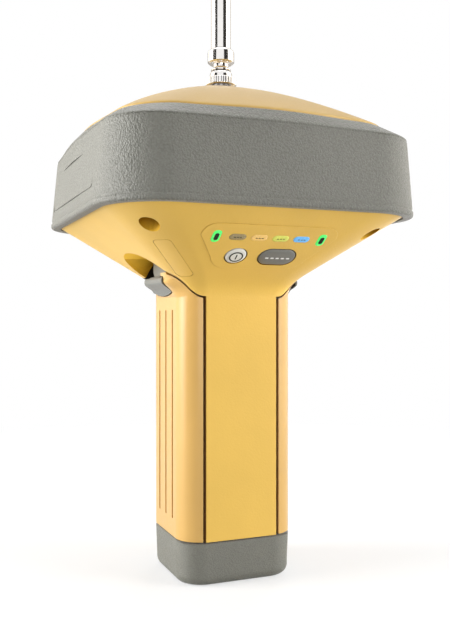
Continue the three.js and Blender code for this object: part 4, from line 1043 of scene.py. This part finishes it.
class RECEIVER_OT_base(bpy.types.Operator):
    """Make the rubber base cap and the threaded pole insert"""
    bl_idname = "receiver.base"
    bl_label = "Base"

    def execute(self, context):
        handle = context.scene.receiver_handle
        half_x, half_y, edge = handle.width / 2, handle.depth / 2, handle.base_edge
        rings = []
        for step in range(13):
            angle = step / 12 * math.pi / 2
            inset = 0.5 * MM + edge * 0.6 * (1 - math.sin(angle))
            z = edge * (1 - math.cos(angle))
            rings.append(ring_at(half_x - inset, half_y - inset, handle.corner - inset / 2, z, 18))
        top = handle.base - 0.35 * MM
        for step in range(1, 7):
            part = step / 6
            inset = 0.5 * MM * (1 - part)
            rings.append(ring_at(
                half_x - inset, half_y - inset, handle.corner, edge + (top - 0.5 * MM - edge) * part, 18))
        rings.append(ring_at(half_x - 0.45 * MM, half_y - 0.45 * MM, handle.corner, top, 18))
        cap = skin("base_cap_rubber", rings)
        hole = turned("base_cut", [
            (0, -4 * MM), (16.3 * MM, -4 * MM), (16.3 * MM, 3.1 * MM), (12.8 * MM, 3.1 * MM),
            (12.8 * MM, 25 * MM), (0, 25 * MM)], 64)
        carve(cap, [hole])
        smooth(cap, 40)
        wear(cap, finishes().fine_rubber)
        finished(cap, "housing", "base_cap")
        bore = []
        for i in range(14):
            z = 1.6 * MM + i * 1.32 * MM
            bore += [(8.3 * MM, z), (7.6 * MM, z + 0.66 * MM)]
        profile = [(8.3 * MM, FIT), (15.6 * MM, FIT), (16 * MM, FIT + 0.4 * MM), (16 * MM, 2.8 * MM),
                   (12.5 * MM, 2.8 * MM), (12.5 * MM, handle.base), (7.6 * MM, handle.base)]
        profile += list(reversed(bore)) + [(8.3 * MM, FIT)]
        insert = turned("pole_thread_insert", profile, 64)
        smooth(insert, 30)
        wear(insert, finishes().steel)
        finished(insert, "housing", "pole_insert")
        return {"FINISHED"}


def latch_outline(grow):
    """A latch lever looking along X: a wide paddle with a bowed lower edge, and its arm."""
    wide, waist, arm = 14.5 * MM + grow, 8 * MM + grow, 10.5 * MM + grow
    tip, ledge, full, top = 141.7 * MM - grow, 149 * MM + grow, 152.4 * MM + grow, 158 * MM + grow
    return arc_points([
        (-wide, tip), ((0, tip - 3.4 * MM), (wide, tip)), (wide, ledge), (waist, ledge), (arm, full),
        (arm, top), (-arm, top), (-arm, full), (-waist, ledge), (-wide, ledge)])


PADDLE_SHARES = ((0, 0), (0.13, 0.2), (0.34, 0.4), (0.72, 0.58), (0.97, 0.74), (1, 1))
BOSS_SHARES = ((0, 0), (0.15, 0.2), (0.38, 0.4), (0.7, 0.6), (0.9, 0.78), (0.93, 1))


def paddle_face(shares, inset=0.0):
    """Outer face of the paddle or its surround from its foot to its nose, as (x, z) pairs."""
    return [(-(31.2 * MM + 5.8 * MM * out - inset), 140 * MM + 8 * MM * up) for out, up in shares]


class RECEIVER_OT_packs(bpy.types.Operator):
    """Make the two battery packs with their grooves and latches"""
    bl_idname = "receiver.packs"
    bl_label = "Battery packs"

    def execute(self, context):
        handle = context.scene.receiver_handle
        made = finishes()
        foot = handle.base + handle.fit
        cover = outer_skin("left_pack_cover", foot, context.scene.receiver_head.rim_top)
        room = side_room("pack_room", handle.groove, handle.seam_fit, foot - OVERRUN)
        carve(cover, [room], "INTERSECT")
        soften(cover, 0.9, 4, 40)
        carve(cover, [self.boss(handle)], "UNION")
        cuts = [prism("latch_cut", latch_outline(0.35 * MM), LATCH_OUTER, LATCH_INNER, ALONG_X)]
        middle, tall = (handle.rib_top + handle.rib_foot) / 2, handle.rib_top - handle.rib_foot
        for step in (-1, 0, 1):
            points = pill(step * handle.rib_pitch, middle, handle.rib_width, tall)
            cuts.append(prism(
                f"rib_cut_{step + 1}", points, -handle.width / 2 - OVERRUN,
                -handle.width / 2 + handle.rib_depth, ALONG_X))
        carve(cover, cuts)
        soften(cover, 0.3, 3, 40)
        smooth(cover, 40)
        wear(cover, made.pack)
        lever = self.lever()
        for side, other in (("left", False), ("right", True)):
            piece = turned_copy(cover, "right_pack_cover") if other else cover
            arm = turned_copy(lever, "right_latch_lever_grip") if other else lever
            finished(piece, side + "_battery", side + "_battery_cover")
            finished(arm, side + "_latch_lever", side + "_latch")
        return {"FINISHED"}

    def boss(self, handle):
        """The latch's raised surround, which swells out of the pack's front corner and ends bare behind."""
        head = bpy.context.scene.receiver_head
        foot = [(138 * MM, 29 * MM)]
        face = smooth_line(foot + [(z, -x) for x, z in paddle_face(BOSS_SHARES, 0.5 * MM)], 4)
        rings = []
        for z, reach in face + [(151 * MM, 34.6 * MM)]:
            half_x, half_y, corner = skin_size(head, handle, z)
            ring = []
            for step in range(BOSS_STEPS + 1):
                y = BOSS_FRONT + BOSS_RUN * step / BOSS_STEPS
                over = max(0.0, -y - (half_y - corner))
                side = half_x - corner + math.sqrt(max(0.0, corner * corner - over * over))
                part = min(1.0, max(0.0, (y - BOSS_FRONT) / BOSS_BLEND))
                swell = max(0.0, reach - half_x) * part * part * (3 - 2 * part)
                ring.append((-(side + swell - 0.02 * MM), y, z))
            rings.append([(BOSS_BACK, ring[-1][1], z), (BOSS_BACK, ring[0][1], z)] + ring)
        boss = skin("latch_boss", [list(reversed(ring)) for ring in rings])
        line = seam_line(handle.seam_fit)
        above = line + [(line[-1][0], 170 * MM), (line[0][0], 170 * MM)]
        return carve(boss, [
            prism("boss_step", BOSS_STEP_ROOM, -45 * MM, -20 * MM, ALONG_X),
            prism("boss_seam", above, 19.6 * MM, 30 * MM, ALONG_Y)])

    def lever(self):
        """The tipping lever: a paddle under an arm, open at one end, where the hollow's walls are painted
        near-black as painted shade.
        """
        face = smooth_line(paddle_face(PADDLE_SHARES) + scaled((-35.9, 149.3), (-33.4, 150)), 5)
        points = scaled((-28.9, 140)) + face + scaled((-33.4, 158), (-31, 158), (-31, 150), (-28.9, 148))
        lever = prism("left_latch_lever_grip", points, -20 * MM, 20 * MM, ALONG_Y)
        carve(lever, [prism("lever_cut", latch_outline(0.0), LATCH_OUTER, 0.0, ALONG_X)], "INTERSECT")
        made = finishes()
        # The hollow's cut walls take the near-black material, as painted shade.
        hollow = wear(prism("lever_hollow", LEVER_HOLLOW, -15 * MM, -9 * MM, ALONG_Y), made.dark)
        carve(wear(lever, made.latch), [hollow])
        soften(lever, 0.7, 4, 40)
        return smooth(lever, 40)


class RECEIVER_OT_panel(bpy.types.Operator):
    """Make the control panel with its lamps, keys and radio window"""
    bl_idname = "receiver.panel"
    bl_label = "Control panel"

    def execute(self, context):
        panel = context.scene.receiver_panel
        made = finishes()
        front = panel_frame()
        plate = prism("panel_plate", panel_outline(), -1.5 * MM, panel.proud, front)
        soften(plate, 0.35, 3, 60)
        carve(plate, control_cuts(front, OVERRUN, FIT / 4))
        smooth(plate, 30)
        wear(plate, made.housing)
        finished(plate, "housing", "control_panel")
        self.lamps(panel, made, front)
        self.keys(panel, made, front)
        window = outer_skin("radio_window_cover", 140 * MM, 200 * MM)
        carve(window, [window_prism("window_room", FIT / 2, 2.2 * MM)], "INTERSECT")
        soften(window, 0.3, 2, 50)
        smooth(window, 40)
        wear(window, made.window)
        finished(window, "housing", "radio_window")
        return {"FINISHED"}

    def lamps(self, panel, made, front):
        nodes = ("left_battery_lamp", "right_battery_lamp", "status_lamp_1", "status_lamp_2",
                 "status_lamp_3", "status_lamp_4")
        for i, (x, width, height) in enumerate(lamp_places()):
            glass = crowned(
                nodes[i] + "_lens", x, panel.lamp_rise, width, height, -1.5 * MM, panel.proud + LENS_RISE,
                0.35 * MM, front)
            smooth(glass, 40)
            wear(glass, made.lamps[i])
            finished(glass, "housing", nodes[i])
            if i >= 2:
                self.lamp_mark(nodes[i], x, panel, made, front)
            else:
                bar = prism(
                    nodes[i] + "_bar", pill(x, panel.lamp_rise, 2.0 * MM, 4.6 * MM), panel.proud,
                    panel.proud + 0.36 * MM, front)
                smooth(wear(bar, made.print_dark), 30)
                finished(bar, "housing")

    def lamp_mark(self, node, x, panel, made, front):
        """Three plain dashes printed on a status lamp, where a label would be."""
        top = panel.proud + LENS_RISE
        for step in (-1, 0, 1):
            dash = prism(
                f"{node}_dash_{step + 2}", pill(x + step * 1.45 * MM, panel.lamp_rise, 1.05 * MM, 0.5 * MM),
                panel.proud, top + 0.03 * MM, front)
            smooth(wear(dash, made.print_dark), 30)
            finished(dash, "housing")

    def keys(self, panel, made, front):
        names = (("power_button", "power_key", "key_light", made.key_light),
                 ("function_button", "function_key", "key_dark", made.key_dark))
        top = KEY_TOP
        for (node, body, slot, material), (x, width, height) in zip(names, key_places()):
            key = crowned(
                node + "_cap", x, panel.key_rise, width, height, -3.2 * MM, top, 0.9 * MM, front)
            smooth(key, 40)
            wear(key, material)
            finished(key, body, node)
        x = panel.power_spot
        foot = top - 0.3 * MM
        mark = turned("power_mark_ring", [
            (2.75 * MM, foot), (3.35 * MM, foot), (3.35 * MM, top - 0.02 * MM),
            (2.75 * MM, top + 0.02 * MM), (2.75 * MM, foot)], 48, front, (x, panel.key_rise))
        bar = prism(
            "power_mark_bar", pill(x, panel.key_rise, 0.62 * MM, 3.3 * MM), foot, top + 0.04 * MM, front)
        for piece in (mark, bar):
            smooth(wear(piece, made.print_dark), 30)
            finished(piece, "power_key")
        for i in range(5):
            dash = prism(
                f"function_mark_{i + 1}",
                pill(panel.function_spot + (i - 2) * 2.7 * MM, panel.key_rise, 1.75 * MM, 0.85 * MM),
                top - 0.5 * MM, top + 0.04 * MM, front)
            smooth(wear(dash, made.print_light), 30)
            finished(dash, "function_key")


def screw_tree(sizes):
    """Sets one turned screw head with a six-sided socket on each point of its input."""
    tree = bpy.data.node_groups.new("housing_screw_set", "GeometryNodeTree")
    tree.interface.new_socket("Geometry", in_out="INPUT", socket_type="NodeSocketGeometry")
    for label, value in sizes.items():
        socket = tree.interface.new_socket(label, in_out="INPUT", socket_type="NodeSocketFloat")
        socket.default_value = value
    tree.interface.new_socket("Finish", in_out="INPUT", socket_type="NodeSocketMaterial")
    tree.interface.new_socket("Geometry", in_out="OUTPUT", socket_type="NodeSocketGeometry")
    nodes, links = tree.nodes, tree.links
    source = nodes.new("NodeGroupInput")
    target = nodes.new("NodeGroupOutput")

    def cylinder(sides, radius, depth):
        node = nodes.new("GeometryNodeMeshCylinder")
        node.inputs["Vertices"].default_value = sides
        links.new(source.outputs[radius], node.inputs["Radius"])
        links.new(source.outputs[depth], node.inputs["Depth"])
        return node.outputs["Mesh"]

    def shifted(mesh, distance):
        vector = nodes.new("ShaderNodeCombineXYZ")
        links.new(source.outputs[distance], vector.inputs["Z"])
        node = nodes.new("GeometryNodeTransform")
        links.new(mesh, node.inputs["Geometry"])
        links.new(vector.outputs["Vector"], node.inputs["Translation"])
        return node.outputs["Geometry"]

    cut = nodes.new("GeometryNodeMeshBoolean")
    cut.operation = "DIFFERENCE"
    links.new(cylinder(48, "Head Radius", "Head Height"), cut.inputs["Mesh 1"])
    links.new(shifted(cylinder(6, "Socket Radius", "Socket Depth"), "Socket Drop"), cut.inputs["Mesh 2"])
    join = nodes.new("GeometryNodeJoinGeometry")
    links.new(cut.outputs["Mesh"], join.inputs["Geometry"])
    links.new(shifted(cylinder(24, "Shank Radius", "Shank Length"), "Shank Rise"), join.inputs["Geometry"])
    spread = nodes.new("GeometryNodeInstanceOnPoints")
    links.new(source.outputs["Geometry"], spread.inputs["Points"])
    links.new(join.outputs["Geometry"], spread.inputs["Instance"])
    real = nodes.new("GeometryNodeRealizeInstances")
    links.new(spread.outputs["Instances"], real.inputs["Geometry"])
    paint = nodes.new("GeometryNodeSetMaterial")
    links.new(real.outputs["Geometry"], paint.inputs["Geometry"])
    links.new(source.outputs["Finish"], paint.inputs["Material"])
    links.new(paint.outputs["Geometry"], target.inputs["Geometry"])
    return tree


def grow(name, points, tree, values):
    """Runs a node tree on loose points and returns the plain mesh as a piece."""
    mesh = bpy.data.meshes.new(name)
    mesh.from_pydata([tuple(point) for point in points], [], [])
    piece = new_piece(name, mesh)
    modifier = piece.modifiers.new("pattern", "NODES")
    modifier.node_group = tree
    for item in tree.interface.items_tree:
        if item.item_type == "SOCKET" and item.in_out == "INPUT" and item.name in values:
            modifier[item.identifier] = values[item.name]
    return bake(piece)


class RECEIVER_OT_screws(bpy.types.Operator):
    """Set the housing screws in the head's corner recesses"""
    bl_idname = "receiver.screws"
    bl_label = "Screws"

    def execute(self, context):
        head = context.scene.receiver_head
        sizes = {"Head Radius": 4 * MM, "Head Height": SCREW_HEAD_HEIGHT, "Socket Radius": 2 * MM,
                 "Socket Depth": 4 * MM, "Socket Drop": -2.2 * MM, "Shank Radius": 1.8 * MM,
                 "Shank Length": 14 * MM, "Shank Rise": 8.6 * MM}
        tree = screw_tree(sizes)
        middle = SCREW_HEAD_TOP - SCREW_HEAD_HEIGHT / 2
        for number, (x, y) in enumerate(CORNERS, 1):
            spot = (x * head.screw_spot, y * head.screw_spot, middle)
            values = {**sizes, "Finish": finishes().steel}
            screw = grow(f"housing_screw_{number}_head", [spot], tree, values)
            smooth(screw, 30)
            finished(screw, "housing", f"housing_screw_{number}")
        return {"FINISHED"}


class RECEIVER_OT_antenna(bpy.types.Operator):
    """Make the plated antenna: jack, coupling nut, collar, tube and tip"""
    bl_idname = "receiver.antenna"
    bl_label = "Antenna"

    def execute(self, context):
        made = finishes()
        parts = {
            "antenna_jack": ("antenna_jack_thread", "steel", made.steel, JACK_PROFILE),
            "antenna_base": ("antenna_collar", "chrome", made.chrome, COLLAR_PROFILE),
            "antenna_tube": ("antenna_whip_tube", "chrome", made.chrome, TUBE_PROFILE),
            "antenna_tip": ("antenna_whip_tip", "dark_plastic", made.dark, TIP_PROFILE),
        }
        for node, (name, slot, material, profile) in parts.items():
            piece = turned(name, profile, 64)
            smooth(wear(piece, material), 32)
            finished(piece, "housing", node)
        self.nut(made)
        return {"FINISHED"}

    def nut(self, made):
        """A knurled ring whose rows of teeth follow a count, over a flared shoulder."""
        rows = []
        profile = [(4.1, 249.2, 0), (7.3, 249.2, 0), (7.9, 249.6, 0), (8.1, 249.9, 1), (8.1, 252.5, 1),
                   (7.8, 252.9, 0), (7.0, 253.3, 0), (6.0, 253.6, 0), (5.8, 254.6, 0), (5.7, 255.6, 0),
                   (5.2, 256.4, 0), (4.1, 256.8, 0)]
        for radius, height, knurl in profile:
            row = []
            for i in range(NUT_STEPS):
                angle = TURN * i / NUT_STEPS
                reach = radius - (TOOTH_DEPTH * knurl if (i * NUT_TEETH * 2 // NUT_STEPS) % 2 else 0)
                row.append((reach * MM * math.cos(angle), reach * MM * math.sin(angle), height * MM))
            rows.append(row)
        nut = skin("antenna_coupling_ring", rows, closed=False)
        smooth(wear(nut, made.chrome), 32)
        finished(nut, "coupling_nut", "antenna_nut")


class RECEIVER_OT_carried(bpy.types.Operator):
    """Give the nodes that stay as they are their finishes"""
    bl_idname = "receiver.carried"
    bl_label = "Carried-over nodes"

    def execute(self, context):
        made = finishes()
        looks = {
            "dark": ("left_battery_core", "right_battery_core", "left_contact_block", "right_contact_block",
                     "usb_port"),
            "brass": ("left_battery_terminals", "right_battery_terminals", "feed_post"),
            "steel": ("left_latch_pin", "right_latch_pin", "power_port", "serial_port"),
            "board": ("keypad_board", "main_board", "ground_plane"),
            "shield": ("gnss_module", "radio_module", "amplifier_shield"),
            "ceramic": ("lower_element", "upper_element"),
        }
        for look, nodes in looks.items():
            for node in nodes:
                wear(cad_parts[node], getattr(made, look))
        return {"FINISHED"}


class RECEIVER_OT_stage(bpy.types.Operator):
    """Set the pale floor, the soft lamps and the camera"""
    bl_idname = "receiver.stage"
    bl_label = "Stage"

    def execute(self, context):
        stage = context.scene.receiver_stage
        context.scene.view_settings.view_transform = "Standard"
        self.floor(context)
        self.world(context, stage.fill)
        aim = (0, 0, 0.14)
        self.lamp("left_lamp", (-1.27, 0.274, 0.5), aim, (0.7, 0.7), stage.key * 4.9)
        self.lamp("left_low_lamp", (-1.27, 0.274, 0.12), aim, (0.7, 0.36), stage.key * 1.5)
        self.lamp("right_front_lamp", (1.036, -0.785, 0.5), aim, (0.7, 0.7), stage.key * 3.2)
        self.lamp("right_front_low_lamp", (1.036, -0.785, 0.12), aim, (0.7, 0.36), stage.key * 0.9)
        self.lamp("right_lamp", (1.299, -0.049, 0.5), aim, (0.7, 0.7), stage.key * 0.9)
        self.lamp("rear_lamp", (0.785, 1.036, 0.2), aim, (0.7, 0.36), stage.key * 2.7)
        self.lamp("front_low_lamp", (-0.274, -1.271, 0.05), aim, (0.7, 0.36), stage.key * 0.85)
        self.lamp("top_lamp", (0, 0, 1.5), aim, (1.2, 1.2), stage.key * 1.1)
        self.card("left_card", 41, 76, 0.03, stage)
        self.card("right_card", -27, -66, 0.03, stage)
        self.card("left_white_card", 76, 138, 1.9, stage)
        self.card("right_white_card", -66, -138, 1.9, stage)
        self.card("rear_card", 138, 222, 0.5, stage)
        self.camera(context, stage)
        return {"FINISHED"}

    def card(self, name, start, end, tone, stage):
        """A screen that only reflections see, for the dark stripes and grey outlines of the plating."""
        towards = -math.pi / 2 - stage.turn
        points = []
        for angle in (start, end):
            turn = towards - math.radians(angle)
            points.append((0.75 * math.cos(turn), 0.75 * math.sin(turn)))
        (x0, y0), (x1, y1) = points
        low, high = 0.0, 0.85
        corners = [(x0, y0, low), (x1, y1, low), (x1, y1, high), (x0, y0, high)]
        card = from_faces(name, corners, [(0, 1, 2, 3)])
        material = bpy.data.materials.new(name)
        material.use_nodes = True
        shader = material.node_tree.nodes["Principled BSDF"]
        shader.inputs["Base Color"].default_value = (0, 0, 0, 1)
        shader.inputs["Specular IOR Level"].default_value = 0.0
        shader.inputs["Emission Color"].default_value = (tone, tone * 0.94, tone * 0.85, 1)
        shader.inputs["Emission Strength"].default_value = 1.0
        card.data.materials.append(material)
        card.visible_camera = card.visible_diffuse = card.visible_shadow = False

    def floor(self, context):
        steps, reach = 64, 6.0
        points = [(reach * math.cos(TURN * i / steps), reach * math.sin(TURN * i / steps), -0.0004)
                  for i in range(steps)]
        floor = from_faces("floor", points, [tuple(range(steps))])
        material = bpy.data.materials.new("pale_floor")
        material.use_nodes = True
        nodes, links = material.node_tree.nodes, material.node_tree.links
        shader = nodes["Principled BSDF"]
        shader.inputs["Roughness"].default_value = 0.9
        glow = nodes.new("ShaderNodeEmission")
        mix = nodes.new("ShaderNodeMixShader")
        path = nodes.new("ShaderNodeLightPath")
        coords = nodes.new("ShaderNodeTexCoord")
        reach_now = nodes.new("ShaderNodeVectorMath")
        reach_now.operation = "LENGTH"
        links.new(coords.outputs["Object"], reach_now.inputs[0])
        far = nodes.new("ShaderNodeMapRange")
        far.inputs["From Min"].default_value = 0.12
        far.inputs["From Max"].default_value = 0.55
        far.inputs["To Min"].default_value = 0.6
        links.new(reach_now.outputs["Value"], far.inputs["Value"])
        glowing = nodes.new("ShaderNodeMath")
        glowing.operation = "MULTIPLY"
        links.new(path.outputs["Is Camera Ray"], glowing.inputs[0])
        links.new(far.outputs["Result"], glowing.inputs[1])
        links.new(glowing.outputs["Value"], mix.inputs["Fac"])
        pale = nodes.new("ShaderNodeMath")
        pale.operation = "MULTIPLY_ADD"
        pale.inputs[1].default_value = 0.32
        pale.inputs[2].default_value = 0.58
        links.new(path.outputs["Is Camera Ray"], pale.inputs[0])
        links.new(pale.outputs["Value"], shader.inputs["Base Color"])
        links.new(shader.outputs["BSDF"], mix.inputs[1])
        links.new(glow.outputs["Emission"], mix.inputs[2])
        links.new(mix.outputs["Shader"], nodes["Material Output"].inputs["Surface"])
        floor.data.materials.append(material)

    def world(self, context, fill):
        world = bpy.data.worlds.new("studio")
        context.scene.world = world
        world.use_nodes = True
        nodes, links = world.node_tree.nodes, world.node_tree.links
        light = nodes["Background"]
        light.inputs["Color"].default_value = (1, 1, 1, 1)
        light.inputs["Strength"].default_value = fill
        white = nodes.new("ShaderNodeBackground")
        white.inputs["Color"].default_value = (1, 1, 1, 1)
        mix = nodes.new("ShaderNodeMixShader")
        path = nodes.new("ShaderNodeLightPath")
        seen = nodes.new("ShaderNodeMath")
        seen.operation = "MAXIMUM"
        links.new(path.outputs["Is Camera Ray"], seen.inputs[0])
        links.new(path.outputs["Is Glossy Ray"], seen.inputs[1])
        links.new(seen.outputs["Value"], mix.inputs["Fac"])
        links.new(light.outputs["Background"], mix.inputs[1])
        links.new(white.outputs["Background"], mix.inputs[2])
        links.new(mix.outputs["Shader"], nodes["World Output"].inputs["Surface"])

    def lamp(self, name, place, aim, size, power):
        light = bpy.data.lights.new(name, "AREA")
        light.shape = "RECTANGLE"
        light.size, light.size_y = size
        light.energy = power
        lamp = bpy.data.objects.new(name, light)
        lamp.location = place
        lamp.rotation_euler = (Vector(aim) - Vector(place)).to_track_quat("-Z", "Y").to_euler()
        bpy.context.scene.collection.objects.link(lamp)

    def camera(self, context, stage):
        data = bpy.data.cameras.new("camera")
        data.sensor_fit = "VERTICAL"
        data.sensor_height = 36
        data.lens = stage.lens
        data.clip_start = 0.01
        camera = bpy.data.objects.new("camera", data)
        camera.location = (
            stage.side - stage.distance * math.sin(stage.turn), -stage.distance * math.cos(stage.turn),
            stage.height)
        camera.rotation_euler = (math.pi / 2, 0, -stage.turn)
        context.scene.collection.objects.link(camera)
        context.scene.camera = camera


OPERATORS = (
    RECEIVER_OT_stage, RECEIVER_OT_housing, RECEIVER_OT_bumper, RECEIVER_OT_radome, RECEIVER_OT_base,
    RECEIVER_OT_packs, RECEIVER_OT_panel, RECEIVER_OT_screws, RECEIVER_OT_antenna, RECEIVER_OT_carried,
)
GROUPS = {
    "receiver_handle": ReceiverHandle, "receiver_head": ReceiverHead, "receiver_panel": ReceiverPanel,
    "receiver_finish": ReceiverFinish, "receiver_stage": ReceiverStage,
}


class RECEIVER_PT_pieces(bpy.types.Panel):
    """Lists the steps that dress the receiver"""
    bl_idname = "RECEIVER_PT_pieces"
    bl_label = "Receiver"
    bl_space_type = "VIEW_3D"
    bl_region_type = "UI"
    bl_category = "Receiver"

    def draw(self, context):
        for operator in OPERATORS:
            self.layout.operator(operator.bl_idname)
        for key, group in GROUPS.items():
            box = self.layout.box()
            box.label(text=group.__doc__.split(".")[0])
            for prop in group.__annotations__:
                box.prop(getattr(context.scene, key), prop)


CLASSES = tuple(GROUPS.values()) + OPERATORS + (RECEIVER_PT_pieces,)


def register():
    for item in CLASSES:
        bpy.utils.register_class(item)
    for key, group in GROUPS.items():
        setattr(bpy.types.Scene, key, bpy.props.PointerProperty(type=group))


def unregister():
    for key in GROUPS:
        delattr(bpy.types.Scene, key)
    for item in reversed(CLASSES):
        bpy.utils.unregister_class(item)


def main():
    register()
    bpy.ops.receiver.stage()
    bpy.ops.receiver.housing()
    bpy.ops.receiver.bumper()
    bpy.ops.receiver.radome()
    bpy.ops.receiver.base()
    bpy.ops.receiver.packs()
    bpy.ops.receiver.panel()
    bpy.ops.receiver.screws()
    bpy.ops.receiver.antenna()
    bpy.ops.receiver.carried()


if __name__ == "__main__":
    main()
